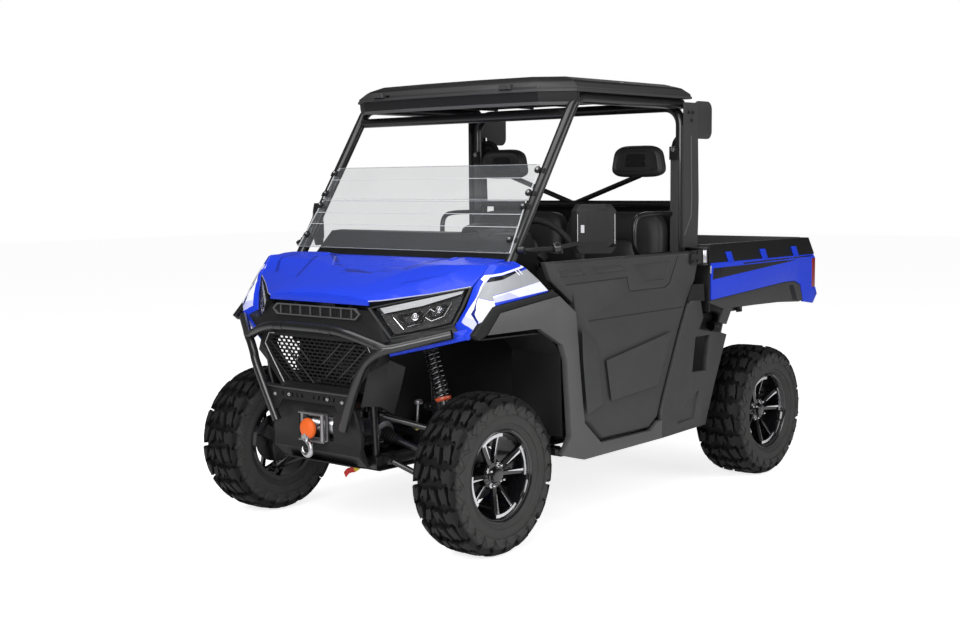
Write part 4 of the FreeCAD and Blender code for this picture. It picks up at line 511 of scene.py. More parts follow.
def dressNodes():  # the solids' finishes and softened edges
    for part in frame["record"]["subparts"]:
        name = part["node"]
        piece = frame["nodes"][name]
        chosen = nodeFinish.get(name, slotFinish[part["material_slot"]])
        piece.data.materials.clear()
        piece.data.materials.append(finishes[chosen])
        piece.data.shade_smooth()
        weld = piece.modifiers.new("weld", "WELD")
        weld.merge_threshold = softEdge["weld"]
        soft = piece.modifiers.new("edges", "BEVEL")
        soft.width, soft.segments = softEdge["width"], softEdge["segments"]
        soft.limit_method = "ANGLE"
        soft.angle_limit = math.radians(softEdge["from"])
        soft.harden_normals = True


makeCamera()
makeLights()
makeFinishes()
dressNodes()
print("frame dressed")


# mesh tools


class Form:  # points and faces gathered for one piece
    def __init__(self):
        self.points, self.faces = [], []

    def add(self, points, faces):
        start = len(self.points)
        self.points += [Vector(point) for point in points]
        self.faces += [[corner + start for corner in face] for face in faces]

    def quads(self, rows, count, steps):  # faces between rows of count points
        faces = []
        for start in range(0, (rows - 1) * count, count):
            for here, after in [(c, (c + 1) % count) for c in range(steps)]:
                faces.append([start + here, start + after, start + count + after, start + count + here])
        return faces

    def grid(self, rows, closed=False, ends=False):  # a skin over rows of points
        count = len(rows[0])
        faces = self.quads(len(rows), count, count if closed else count - 1)
        if ends:
            faces += [list(range(count))[::-1], [(len(rows) - 1) * count + c for c in range(count)]]
        self.add([point for row in rows for point in row], faces)

    def lathe(self, profile, centre, axis, steps=48, closed=True):  # profile of (along, radius)
        axis = Vector(axis).normalized()
        first = axis.orthogonal().normalized()
        second = axis.cross(first)
        rows = []
        for number in range(steps + 1 if not closed else steps):
            angle = math.tau * number / steps
            out = first * math.cos(angle) + second * math.sin(angle)
            rows.append([Vector(centre) + axis * along + out * radius for along, radius in profile])
        self.grid(rows + rows[:1] if closed else rows)

    def pipe(self, path, radius, sides=12, ends=True):  # a tube along a path, its radius one number or a list
        rows = []
        side = None
        for number, spot in enumerate(path):
            ahead = (path[min(number + 1, len(path) - 1)] - path[max(number - 1, 0)]).normalized()
            side = ahead.orthogonal() if side is None else side - ahead * side.dot(ahead)
            side.normalize()
            other = ahead.cross(side)
            size = radius[number] if isinstance(radius, list) else radius
            turns = [math.tau * step / sides for step in range(sides)]
            rows.append([spot + side * math.cos(turn) * size + other * math.sin(turn) * size
                         for turn in turns])
        self.grid(rows, closed=True, ends=ends)

    def prism(self, outline, push, inset=0.0):  # an outline pushed along a vector, its far face drawn in
        push = Vector(push)
        middle = sum((Vector(point) for point in outline), Vector()) / len(outline)
        near = [Vector(point) for point in outline]
        far = [point + push for point in near]
        count = len(near)
        rows = [near, far]
        if inset:
            lip = push.normalized() * min(inset, push.length * 0.5)
            drawn = [point + (middle + push - point).normalized() * inset for point in far]
            rows = [near, [point - lip for point in far], drawn]
        faces = self.quads(len(rows), count, count)
        faces += [list(range(count))[::-1], [(len(rows) - 1) * count + c for c in range(count)]]
        self.add([point for row in rows for point in row], faces)

    def bolt(self, spot, facing, size=0.008):  # hex head on a round flange
        facing = Vector(facing).normalized()
        first = facing.orthogonal().normalized()
        second = facing.cross(first)
        flange = [(0, 1.35), (0.25, 1.35), (0.3, 1.2), (0.3, 0)]
        self.lathe([(rise * size, radius * size) for rise, radius in flange], spot, facing, 16)
        base = Vector(spot) + facing * size * 0.3
        turns = [math.tau * step / 6 for step in range(6)]
        ring = [base + (first * math.cos(turn) + second * math.sin(turn)) * size for turn in turns]
        self.prism(ring, facing * size * 0.75, size * 0.12)

    def make(self, name, finish, body, slot=None, angle=35, mirror=False):
        mesh = bpy.data.meshes.new(name)
        mesh.from_pydata(self.points, [], self.faces)
        mesh.validate()
        mesh.materials.append(finishes[finish])
        mesh.shade_smooth()
        mesh.set_sharp_from_angle(angle=math.radians(angle))
        piece = bpy.data.objects.new(name, mesh)
        bpy.context.collection.objects.link(piece)
        if mirror:
            piece.modifiers.new("mirror", "MIRROR")
        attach(piece, body)
        return piece


def curve(points, steps=8):  # a smooth path through the points
    path = []
    spots = [points[0], *points, points[-1]]
    for a, b, c, d in zip(spots, spots[1:], spots[2:], spots[3:]):
        for step in range(steps):
            t = step / steps
            bend = (2 * a - 5 * b + 4 * c - d) * t * t
            path.append(0.5 * (2 * b + (c - a) * t + bend + (3 * b - a - 3 * c + d) * t ** 3))
    return path + [points[-1]]


# wheels

wheel = {"radius": 330, "trackHalf": 660, "axle": 1035}  # in mm
tyre = {  # in metres, as shares of the half width and radii; pitches of tread round the wheel
    "front": 0.115, "rear": 0.135, "seat": 0.178, "pitches": 12, "steps": 96, "bead": (0.004, 0.19),
    "innerBead": [(0.97, 0.208), (1.0, 0.232)],
    "outerBead": [(1.0, 0.232), (0.985, 0.214), (0.94, 0.212), (0.92, 0.204)], "points": (0.2, 0.7),
    "point": [(0.252, -0.24), (0.252, 0.24), (0.285, 0.0)], "pointAt": 0.985, "pointRise": 0.03,
    "lugInset": 0.035, "skews": (-0.05, 0.07), "lugFoot": 0.006, "lugSink": 0.997,
}
tyreOutside = [(0.0, 0.330), (0.35, 0.3295), (0.62, 0.327), (0.86, 0.316), (0.96, 0.293), (1.0, 0.262),
               (1.0, 0.23)]
tyreInside = [(0.0, 0.307), (0.35, 0.3065), (0.62, 0.304), (0.80, 0.294), (0.91, 0.277), (0.975, 0.259),
              (0.992, 0.23)]
acrossStops = [0.0, 0.25, 0.45, 0.66, 0.8, 0.92, 1.0]
lugStrips = [  # each lug as stations across the tread: share across, start and end within a pitch
    [(0.02, 0.02, 0.22), (0.10, -0.03, 0.30), (0.17, 0.08, 0.40), (0.24, 0.20, 0.42)],
    [(0.05, 0.56, 0.80), (0.13, 0.50, 0.84), (0.20, 0.58, 0.80), (0.30, 0.64, 0.78)],
    [(0.32, 0.02, 0.24), (0.40, -0.06, 0.34), (0.48, -0.02, 0.42), (0.56, 0.10, 0.38)],
    [(0.38, 0.58, 0.82), (0.47, 0.52, 0.86), (0.56, 0.55, 0.94), (0.66, 0.48, 0.98),
     (0.74, 0.58, 0.90), (0.83, 0.52, 0.96), (0.93, 0.66, 0.90), (1.0, 0.74, 0.84)],
    [(0.62, 0.0, 0.36), (0.70, -0.06, 0.44), (0.78, 0.06, 0.34), (0.87, -0.02, 0.44), (0.95, 0.12, 0.32)],
]


def between(table, share, column):  # a value of the table at a share across the tread
    for a, b in zip(range(len(acrossStops)), range(1, len(acrossStops))):
        if share <= acrossStops[b]:
            part = (share - acrossStops[a]) / (acrossStops[b] - acrossStops[a])
            return table[a][column] + (table[b][column] - table[a][column]) * part
    return table[-1][column]


def polar(x, radius, turn):
    return Vector((x, radius * math.cos(turn), radius * math.sin(turn)))


def onTyre(table, half, share, turn):
    wide = between(table, abs(share), 0) * half * (1 if share >= 0 else -1)
    return polar(wide, between(table, abs(share), 1), turn)


def addLug(form, half, side, strip, start):  # the lug's top, and its walls down into the carcass
    pitch = math.tau / tyre["pitches"]
    tops, feet = [], []
    for share, first, last in strip:
        low, high = first + tyre["lugInset"], last - tyre["lugInset"]
        skew = tyre["skews"][len(tops) % 2]
        turns = [start + pitch * (low + skew + (high - low) * part) for part in (0.0, 0.5, 1.0)]
        tops.append([onTyre(tyreOutside, half, side * share, turn) for turn in turns])
        wide = [turns[0] - pitch * tyre["lugFoot"], turns[1], turns[2] + pitch * tyre["lugFoot"]]
        feet.append([onTyre(tyreInside, half, side * share, turn) * tyre["lugSink"] for turn in wide])
    count = len(tops)
    edge = [(r, 0) for r in range(count)] + [(count - 1, 1), (count - 1, 2)]
    edge += [(r, 2) for r in range(count - 2, -1, -1)] + [(0, 1)]
    points = [point for row in tops for point in row] + [feet[r][c] for r, c in edge]
    faces = [[r * 3 + c, r * 3 + c + 1, r * 3 + c + 4, r * 3 + c + 3] for r in range(count - 1)
             for c in range(2)]
    base = count * 3
    for number, (r, c) in enumerate(edge):
        after = (number + 1) % len(edge)
        rr, cc = edge[after]
        faces.append([r * 3 + c, base + number, base + after, rr * 3 + cc])
    form.add(points, faces)


def makeTyre(end, side, centre):
    half, rimHalf, bore = tyre[end], rimShape[end], tyre["seat"]
    form = Form()
    out, lip = tyre["bead"]
    profile = [(-rimHalf, bore), (-rimHalf - out, lip)] + [(-u * half, r) for u, r in tyre["innerBead"]]
    profile += [(-u * half, r) for u, r in reversed(tyreInside[:-1])]
    profile += [(u * half, r) for u, r in tyreInside[1:-1] + tyre["outerBead"]]
    profile += [(rimHalf + out, lip), (rimHalf, bore)]
    form.lathe(profile, (0, 0, 0), (1, 0, 0), tyre["steps"])
    pitch = math.tau / tyre["pitches"]
    for number in range(tyre["pitches"]):
        for hand in (-1, 1):
            start = pitch * (number + (0.5 if hand < 0 else 0.0))
            for strip in lugStrips:
                addLug(form, half, hand, strip, start)
            for part in tyre["points"]:  # raised points on the sidewall between the lugs
                turn = start + pitch * part
                spots = [polar(hand * half * tyre["pointAt"], radius, turn + pitch * lean)
                         for radius, lean in tyre["point"]]
                form.prism(spots if hand > 0 else spots[::-1], (hand * half * tyre["pointRise"], 0, 0))
    label, place = end.title() + side.title(), end + "_" + side
    piece = form.make("tyre" + label, "tyreRubber", "wheel_" + place, "tyre_rubber", 18)
    piece.location = centre
    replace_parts(piece, "tyre_" + place)


rimShape = {  # in metres and degrees; profiles of (outward along the axle, radius)
    "front": 0.092, "rear": 0.105, "barrel": 0.171, "hubStart": 0.0374, "pairs": 4, "turn": 15,
    "inset": 0.012, "lip": 0.006, "lipInside": [(0.001, 0.187), (-0.003, 0.1825)],
    "well": [(-0.006, 0.1765), (-0.02, 0.172)], "back": 0.03, "spokeStops": (0.0, 0.25, 0.5, 0.75, 0.94, 1.0),
    "inner": (0.003, 0.038), "outer": (0.019, 0.045), "face": 0.058, "dish": 1.6, "depth": 0.02,
    "shoulder": 0.004, "edgeStops": (0.3, 0.5, 0.7, 0.9, 0.985), "edge": (0.0015, 0.013, 0.25),
    "edgeRise": 0.0008, "edgeDepth": 0.003, "arc": 22.5, "arcSteps": 12,
    "arcSection": [(0.002, 0.1715), (0.002, 0.1585), (-0.006, 0.157), (-0.006, 0.1715)],
    "hub": [(0.02, 0.0), (0.02, 0.062), (0.05, 0.06), (0.058, 0.052), (0.058, 0.036), (0.062, 0.032)],
    "cap": [(0.056, 0.031), (0.074, 0.029), (0.078, 0.025), (0.08, 0.014), (0.08, 0.0)],
    "disc": [(-0.025, 0.04), (-0.025, 0.109), (-0.0245, 0.11), (-0.0205, 0.11), (-0.02, 0.109),
             (-0.02, 0.04), (-0.025, 0.04)],
    "nuts": 4, "nutTurn": 60, "nutSpot": (0.056, 0.04472),
    "nut": [(0.006, 0.007), (0.018, 0.0065), (0.021, 0.004), (0.022, 0.0)],
}


def spokePoint(share, aside, middle, lift):  # at a share of the way from hub to rim
    radius = rimShape["hubStart"] + share * (rimShape["barrel"] - rimShape["hubStart"])
    out = Vector((0, math.cos(middle), math.sin(middle)))
    tangent = Vector((0, -math.sin(middle), math.cos(middle)))
    return out * radius + tangent * aside + Vector((lift, 0, 0))


def spokeFront(share, face):  # how far out the spoke's face stands
    return rimShape["face"] + (face - rimShape["face"]) * share ** rimShape["dish"]


def addSpoke(black, silver, middle, way, face, hand):
    (a, b), (c, d) = rimShape["inner"], rimShape["outer"]
    start, growth, origin = rimShape["edge"]
    rows, edge = [], []
    for share in rimShape["spokeStops"]:
        inner, outer = way * (a + b * share), way * (c + d * share)
        front = spokeFront(share, face)
        low = front - rimShape["depth"]
        section = ((inner, front), (outer, front - rimShape["shoulder"]), (outer, low), (inner, low))
        rows.append([spokePoint(share, aside, middle, hand * lift) for aside, lift in section])
    for share in rimShape["edgeStops"]:
        inner = way * (a + b * share)
        wide = inner + way * (start + growth * (share - origin))
        front = spokeFront(share, face) + rimShape["edgeRise"]
        low = front - rimShape["edgeDepth"]
        section = ((inner, front), (wide, front), (wide, low), (inner, low))
        edge.append([spokePoint(share, aside, middle, hand * lift) for aside, lift in section])
    black.grid(rows, closed=True, ends=True)
    silver.grid(edge, closed=True, ends=True)


def rimBarrel(half):
    lip, barrel, top, bore = half + rimShape["lip"], rimShape["barrel"], tyre["bead"][1], tyre["seat"]
    profile = [(-lip, barrel), (-lip, top), (-half, top), (-half, bore), (half, bore), (half, top),
               (lip, top)]
    profile += [(lip + out, radius) for out, radius in rimShape["lipInside"]]
    profile += [(half + out, radius) for out, radius in rimShape["well"]]
    return profile + [(-half + rimShape["back"], barrel), (-lip, barrel)]


def makeRim(end, side, centre, hand):
    black, silver, disc, nuts = Form(), Form(), Form(), Form()
    centreLine = ((0, 0, 0), (1, 0, 0))
    face = rimShape[end] - rimShape["inset"]
    black.lathe([(hand * x, r) for x, r in rimBarrel(rimShape[end])], *centreLine, 72)
    for pair in range(rimShape["pairs"]):
        middle = math.tau * pair / rimShape["pairs"] + math.radians(rimShape["turn"])
        for way in (-1, 1):
            addSpoke(black, silver, middle, way, face, hand)
        rows = []
        for step in range(rimShape["arcSteps"] + 1):
            turn = middle + math.radians(rimShape["arc"]) * (step / rimShape["arcSteps"] * 2 - 1)
            rows.append([polar(hand * (face + out), radius, turn) for out, radius in rimShape["arcSection"]])
        silver.grid(rows, closed=True, ends=True)
    for form, name, steps in ((black, "hub", 40), (black, "cap", 40), (disc, "disc", 60)):
        form.lathe([(hand * x, r) for x, r in rimShape[name]], *centreLine, steps)
    for number in range(rimShape["nuts"]):
        x, radius = rimShape["nutSpot"]
        turn = math.tau * number / rimShape["nuts"] + math.radians(rimShape["nutTurn"])
        spot = polar(hand * x, radius, turn)
        nuts.bolt(spot, (hand, 0, 0), 0.0085)
        nuts.lathe(rimShape["nut"], spot, (hand, 0, 0), 12)
    body = "wheel_" + end + "_" + side
    label = end.title() + side.title()
    pieces = [black.make("rim" + label, "alloyBlack", body, "alloy_black", 30),
              silver.make("rimFace" + label, "machinedSilver", body, None, 30),
              disc.make("brakeDisc" + label, "darkCast", body),
              nuts.make("lugNuts" + label, "chrome", body)]
    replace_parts(pieces[0], "rim_" + end + "_" + side)
    for piece in pieces:
        piece.location = centre


def makeWheels():
    for end, sign in (("front", -1), ("rear", 1)):
        for side, hand in (("left", 1), ("right", -1)):
            centre = at(hand * wheel["trackHalf"], sign * wheel["axle"], wheel["radius"])
            makeTyre(end, side, centre)
            makeRim(end, side, centre, hand)


makeWheels()
print("wheels made")


# places in mm, turned into points


def corners(a0, a1, b0, b1):  # a rectangle's corners in order
    return [(a0, b0), (a1, b0), (a1, b1), (a0, b1)]


def across(outline, y):  # an (x, z) outline stood across the vehicle at y
    return [at(x, y, z) for x, z in outline]


def along(outline, x):  # a (y, z) outline stood along the vehicle at x
    return [at(x, y, z) for y, z in outline]


def level(outline, z):  # an (x, y) outline laid at a height
    return [at(x, y, z) for x, y in outline]


def shrunk(outline, share):
    middle = [sum(point[k] for point in outline) / len(outline) for k in (0, 1)]
    return [tuple(middle[k] + (point[k] - middle[k]) * share for k in (0, 1)) for point in outline]


# nose, lamps and bonnet

lamp = {  # (x, z) outlines and places in mm; rings hold a share of the outline and a depth
    "low": (879, (392, -1308), (640, -1124)),
    "high": (1093, (304, -1322), (662, -1068)),
    "edge": [(312, 1004), (399, 1027), (520, 1058), (647, 1088), (627, 1012),
             (602, 938), (530, 916), (456, 896), (398, 884), (354, 945)],
    "edgeRings": [(1.0, 50), (1.0, 0.6), (0.94, 0.6), (0.91, 5), (0.86, 34), (0.5, 36)],
    "cups": [[(412, 972), (430, 940), (452, 934), (486, 948), (497, 976), (484, 990)],
             [(508, 992), (514, 968), (528, 957), (560, 973), (576, 1012), (560, 1018)]],
    "cupRings": [(1.0, 33), (1.0, 12), (0.62, 20)],
    "dayLight": [(353, 1003), (486, 1038), (620, 1073), (615, 1060), (492, 1013), (369, 982)],
    "dayRings": [(1.0, 14), (1.0, 4), (0.97, 2.5)],
    "trims": [[(401, 966), (440, 919)],
              [(423, 955), (451, 930), (488, 944), (498, 974), (518, 999), (532, 990)],
              [(505, 966), (526, 952), (564, 971), (584, 1024)], [(642, 1082), (600, 957)]],
    "trimLine": 0.0016, "trimSink": 6,
    "eyes": [((470, 968), 15), ((545, 996), 13)], "eyeSink": 20,
    "eyeRing": [(0.0, 1.0), (0.006, 1.0), (0.007, 0.9), (0.001, 0.72)],
    "eyeGlass": [(0.0, 0.7), (0.004, 0.6), (0.007, 0.35), (0.008, 0.0)],
}


def onLamp(x, z, sink=0.0):  # a point on the lamp's face, or sunk behind it, in mm
    share = (z - lamp["low"][0]) / (lamp["high"][0] - lamp["low"][0])
    ends = zip(lamp["low"][1:], lamp["high"][1:])
    start, finish = [Vector(low).lerp(Vector(high), share) for low, high in ends]
    way = (finish - start).normalized()
    spot = start + (finish - start) * ((x - start.x) / (finish.x - start.x))
    inward = Vector((-way.y, way.x)) * sink
    return at(spot.x + inward.x, spot.y + inward.y, z)


def lampRings(outline, rings):
    return [[onLamp(x, z, sink) for x, z in shrunk(outline, share)] for share, sink in rings]


def makeLamps():
    bowl, light, trim = Form(), Form(), Form()
    bowl.grid(lampRings(lamp["edge"], lamp["edgeRings"]), closed=True, ends=True)
    for outline in lamp["cups"]:
        bowl.grid(lampRings(outline, lamp["cupRings"]), closed=True, ends=True)
    piece = bowl.make("lampBowls", "lampBlack", "vehicle", "black_plastic", 20, mirror=True)
    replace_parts(piece, "headlamp_housings")
    light.grid(lampRings(lamp["dayLight"], lamp["dayRings"]), closed=True, ends=True)
    light.make("dayLights", "whiteLight", "vehicle", mirror=True)
    for line in lamp["trims"]:
        trim.pipe([onLamp(x, z, lamp["trimSink"]) for x, z in line], lamp["trimLine"], 6)
    for (x, z), size in lamp["eyes"]:
        spot = onLamp(x, z, lamp["eyeSink"])
        facing = (onLamp(x, z) - spot).normalized()
        for profile in (lamp["eyeRing"], lamp["eyeGlass"]):
            trim.lathe([(rise, size * share / 1000) for rise, share in profile], spot, facing, 24)
    trim.make("lampTrims", "chrome", "vehicle", mirror=True)


grille = {  # in mm
    "outline": [(-290, 862), (290, 862), (318, 820), (200, 665), (-200, 665), (-318, 820)],
    "front": -1331, "rows": 13, "pitch": 30, "webs": 11, "barHalf": 2.8, "webHalf": 2.6, "lean": 3,
    "inset": 4, "barDepth": 0.009, "webDepth": 0.008, "rimShare": 0.955, "rimDepth": 10, "proud": 1,
    "ridges": [[(18, 672), (235, 852)], [(95, 672), (296, 836)], [(40, 760), (150, 852)],
               [(160, 672), (262, 756)]],
    "ridge": 0.0034,
    "line": [(262, 868), (296, 868), (324, 822), (206, 662)], "lineFront": -1337, "lineSize": 0.002,
}


def grilleHalf(z):  # half the grille's width at a height
    (wide, top), (widest, middle), (narrow, low) = grille["outline"][1:4]
    if z > middle:
        return wide + (top - z) * (widest - wide) / (top - middle)
    return narrow + (z - low) * (widest - narrow) / (middle - low)


def addWebs(bars, row, low, high):  # the leaning webs between two bars
    y, wide = grille["front"], grille["webHalf"]
    half = min(grilleHalf(low), grilleHalf(high)) - grille["inset"]
    for number in range(-grille["webs"], grille["webs"] + 1):
        x = grille["pitch"] * (row % 2 / 2 + number)
        if abs(x) < half:
            lean = math.copysign(grille["lean"], x) if x else -grille["lean"]
            outline = [(x - wide, low), (x + wide, low), (x + wide + lean, high), (x - wide + lean, high)]
            bars.prism(across(outline, y + 0.5), (0, grille["webDepth"], 0))


def makeGrille():
    bars, ridges, line = Form(), Form(), Form()
    y, outer = grille["front"], grille["outline"]
    top, low = outer[1][1], outer[3][1]
    step = (top - low) / grille["rows"]
    for row in range(grille["rows"] + 1):
        z = low + row * step
        half = grilleHalf(min(z, top)) - grille["inset"]
        outline = corners(-half, half, z - grille["barHalf"], z + grille["barHalf"])
        bars.prism(across(outline, y), (0, grille["barDepth"], 0))
        if row < grille["rows"]:
            addWebs(bars, row, z, z + step)
    inner = shrunk(outer, grille["rimShare"])
    back, front = y + grille["rimDepth"], y - grille["proud"]
    rings = ((outer, back), (outer, front), (inner, front), (inner, back))
    rows = [across(outline, depth) for outline, depth in rings]
    bars.grid(rows + rows[:1], closed=True)
    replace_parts(bars.make("grilleBars", "blackPlastic", "vehicle", "black_plastic", 30), "grille")
    for ridge in grille["ridges"]:
        ridges.pipe(across(ridge, front), grille["ridge"], 6)
    ridges.make("grilleRidges", "blackSteel", "vehicle", mirror=True)
    line.pipe(across(grille["line"], grille["lineFront"]), grille["lineSize"], 6)
    line.make("grilleLines", "silverLine", "vehicle", mirror=True)


vent = {  # the slotted vent above the grille and the bonnet's bright edge, in mm
    "half": 268, "shoulder": 242, "middle": 975, "rise": 24, "front": -1333, "proud": 6,
    "inner": (0.965, 0.78), "webs": 8, "pitch": 62, "webHalf": 3, "webRise": 19, "webDepth": 0.004,
    "edge": [(301, -1322, 1030), (346, -1295, 1033), (403, -1251, 1042), (507, -1171, 1059),
             (640, -1082, 1088)],
    "edgeSize": 0.0022,
}


def makeNose():
    ring, edge = Form(), Form()
    half, shoulder, middle, rise = vent["half"], vent["shoulder"], vent["middle"], vent["rise"]
    outer = [(-half, middle), (-shoulder, middle + rise), (shoulder, middle + rise),
             (half, middle), (shoulder, middle - rise), (-shoulder, middle - rise)]
    wide, tall = vent["inner"]
    inner = [(x * wide, middle + (z - middle) * tall) for x, z in outer]
    back, front = vent["front"], vent["front"] - vent["proud"]
    rings = ((outer, back), (outer, front), (inner, front), (inner, back))
    rows = [across(outline, depth) for outline, depth in rings]
    ring.grid(rows + rows[:1], closed=True)
    for number in range(vent["webs"]):
        x = (number - (vent["webs"] - 1) / 2) * vent["pitch"]
        outline = corners(x - vent["webHalf"], x + vent["webHalf"], middle - vent["webRise"],
                          middle + vent["webRise"])
        ring.prism(across(outline, back - 1), (0, -vent["webDepth"], 0), 0.001)
    ring.make("ventFrame", "panelPlastic", "vehicle")
    edge.pipe([at(*spot) for spot in vent["edge"]], vent["edgeSize"], 8)
    edge.make("bonnetLine", "silverLine", "bonnet", mirror=True)


scoop = {"spot": (402, -955, 1175), "length": 62, "drift": -4, "climb": 5.5, "width": 30, "height": 11,
         "rows": 8, "arc": 10, "lip": 0.12}


def makeScoops():
    brow, mouth = Form(), Form()
    x, y, z = scoop["spot"]
    rows = []
    for step in range(scoop["rows"] + 1):
        share = step / scoop["rows"]
        wide = scoop["width"] * math.sin(math.pi * (0.12 + 0.62 * share)) / 1000
        tall = scoop["height"] * math.sin(math.pi * 0.62 * share) / 1000
        middle = at(x + scoop["drift"] * share, y + scoop["length"] * share, z + scoop["climb"] * share)
        turns = [math.pi * k / scoop["arc"] for k in range(scoop["arc"] + 1)]
        rows.append([middle + Vector((math.cos(turn) * wide, 0, math.sin(turn) * tall)) for turn in turns])
    brow.grid(rows)
    brow.make("bonnetScoops", "glossBlue", "bonnet", None, 50, mirror=True)
    end = rows[-1]
    centre = end[0].lerp(end[-1], 0.5)
    mouth.add([point.lerp(centre, scoop["lip"]) + Vector((0, 0.0006, 0)) for point in end],
              [list(range(len(end)))])
    mouth.make("scoopMouths", "blackPlastic", "bonnet", mirror=True)


makeLamps()
makeNose()
makeGrille()
makeScoops()
print("nose made")


# windshield, roof, mirrors and pillars

pillar = {"foot": (-864.0, 1140.0), "head": (-433.0, 1801.0)}  # (y, z) ends of the front pillar's middle line
windshield = {  # (x, z) outlines and heights in mm, lifts off the pillars' plane in mm
    "panes": [[(650, 1196), (625, 1408), (-625, 1408), (-650, 1196)],
              [(628, 1414), (626, 1540), (606, 1560), (-606, 1560), (-626, 1540), (-628, 1414)]],
    "edgeShare": 0.994, "lifts": (24.2, 28.8), "folds": [1300, 1352], "foldLift": 28.6, "foldInset": 6,
    "foldSize": 0.0016, "seam": (618, 1503), "seamSize": 0.0014,
    "clamps": [1250, 1385, 1440, 1535], "clampX": 622, "clampLift": 28, "footLift": 22,
    "clampFoot": (612, 655, 9),
    "knob": [(-0.002, 0.012), (0.001, 0.0155), (0.007, 0.0155), (0.010, 0.013), (0.0105, 0.0)],
}


def onScreen(x, z, lift):  # a point on the windshield's plane, lifted off it in mm
    (y0, z0), (y1, z1) = pillar["foot"], pillar["head"]
    rise = Vector((0, y1 - y0, z1 - z0)).normalized()
    y = y0 + (y1 - y0) * (z - z0) / (z1 - z0)
    return at(x, y, z) + Vector((0, -rise.z, rise.y)) * lift / 1000


def makeScreen():
    rim, knobs, heads = Form(), Form(), Form()
    near, far = windshield["lifts"]
    for outline in windshield["panes"]:
        inner = shrunk(outline, windshield["edgeShare"])
        rings = ((outline, near), (outline, far), (inner, far), (inner, near))
        rows = [[onScreen(x, z, lift) for x, z in ring] for ring, lift in rings]
        rim.grid(rows + rows[:1], closed=True)
    (wide, low), (narrow, high) = windshield["panes"][0][:2]
    lift = windshield["foldLift"]
    for z in windshield["folds"]:
        half = wide - (z - low) * (wide - narrow) / (high - low) - windshield["foldInset"]
        rim.pipe([onScreen(-half, z, lift), onScreen(half, z, lift)], windshield["foldSize"], 6)
    half, z = windshield["seam"]
    rim.pipe([onScreen(-half, z, lift), onScreen(half, z, lift)], windshield["seamSize"], 6)
    rim.make("paneEdges", "paneEdge", "vehicle", "clear_pane")
    outward = (onScreen(0, low, 1) - onScreen(0, low, 0)).normalized()
    x0, x1, rise = windshield["clampFoot"]
    for z in windshield["clamps"]:
        spot = onScreen(windshield["clampX"], z, windshield["clampLift"])
        knobs.lathe(windshield["knob"], spot, outward, 24)
        heads.bolt(spot + outward * 0.0102, outward, 0.005)
        foot = [onScreen(x, height, windshield["footLift"])
                for x, height in corners(x0, x1, z - rise, z + rise)]
        knobs.prism(foot, outward * 0.004, 0.001)
    knobs.make("paneClamps", "blackPlastic", "vehicle", mirror=True)
    heads.make("paneBolts", "bareSteel", "vehicle", mirror=True)


roof = {  # in mm; lip holds a growth and a height, skirt and band a step back and a height
    "plan": [(-668, 470), (-668, -425), (-534, -528), (-200, -559), (200, -559), (534, -528), (668, -425),
             (668, 470)],
    "middle": -45, "lip": [(1.0, 1885), (1.0045, 1886), (1.0045, 1896), (1.0, 1897)],
    "notches": (371, -407), "notch": [(-34, 1900), (34, 1900), (30, 1922), (-30, 1922)],
    "notchFront": -482, "notchSweep": 0.06, "notchDepth": 0.05,
    "skirt": [(6, 1892), (10, 1860), (16, 1842), (24, 1842), (22, 1890)], "skirtShare": 0.998,
    "band": [(16, 1843), (14, 1842), (18, 1829), (26, 1829), (26, 1842)], "bandShare": 0.996,
    "under": 1884, "ribs": [-480, -240, 0, 240, 480], "rib": (9, -470, 395), "ribDepth": 0.012,
    "beams": [-300, -100, 100, 300], "beam": (7, 600), "beamDepth": 0.009,
    "top": 1955, "ridges": (150, 380), "ridge": (34, 330), "ridgeRise": 0.007,
    "bolts": [(-380, 1928), (0, 1936), (400, 1936)], "boltX": 600, "boltLean": 0.28,
}


def makeRoof():
    lip, skirt, band, ribs, ridge, fix = Form(), Form(), Form(), Form(), Form(), Form()
    middle, plan = roof["middle"], roof["plan"]
    lip.grid([level([(x * grow, middle + (y - middle) * grow) for x, y in plan], z)
              for grow, z in roof["lip"]], closed=True)
    for x in roof["notches"]:
        outline = [(x + a, z) for a, z in roof["notch"]]
        y = roof["notchFront"] - abs(x) * roof["notchSweep"]
        lip.prism(across(outline, y), (0, -roof["notchDepth"], 0), 0.004)
    lip.make("roofLip", "greyPlastic", "vehicle")
    for form, rows, share in ((skirt, "skirt", "skirtShare"), (band, "band", "bandShare")):
        form.grid([level([(x * roof[share], y + back) for x, y in plan[1:7]], z) for back, z in roof[rows]])
    skirt.make("roofSkirt", "blackPlastic", "vehicle", None, 25)
    band.make("roofBand", "panelPlastic", "vehicle", None, 25)
    half, front, rear = roof["rib"]
    for x in roof["ribs"]:
        ribs.prism(level(corners(x - half, x + half, front, rear), roof["under"]), (0, 0, -roof["ribDepth"]),
                   0.003)
    half, reach = roof["beam"]
    for y in roof["beams"]:
        outline = corners(-reach, reach, y - half, y + half)
        ribs.prism(level(outline, roof["under"]), (0, 0, -roof["beamDepth"]), 0.002)
    ribs.make("roofRibs", "blackPlastic", "vehicle")
    half, reach = roof["ridge"]
    for side in (-1, 1):
        for x in roof["ridges"]:
            outline = [(side * (x + u), y) for u, y in corners(-half, half, -reach, reach)]
            ridge.prism(level(outline, roof["top"]), (0, 0, roof["ridgeRise"]), 0.006)
        for y, z in roof["bolts"]:
            fix.bolt(at(side * roof["boltX"], y, z), (side * roof["boltLean"], 0, 1), 0.009)
    ridge.make("roofRidges", "blackPlastic", "vehicle", None, 20)
    fix.make("roofBolts", "bareSteel", "vehicle")


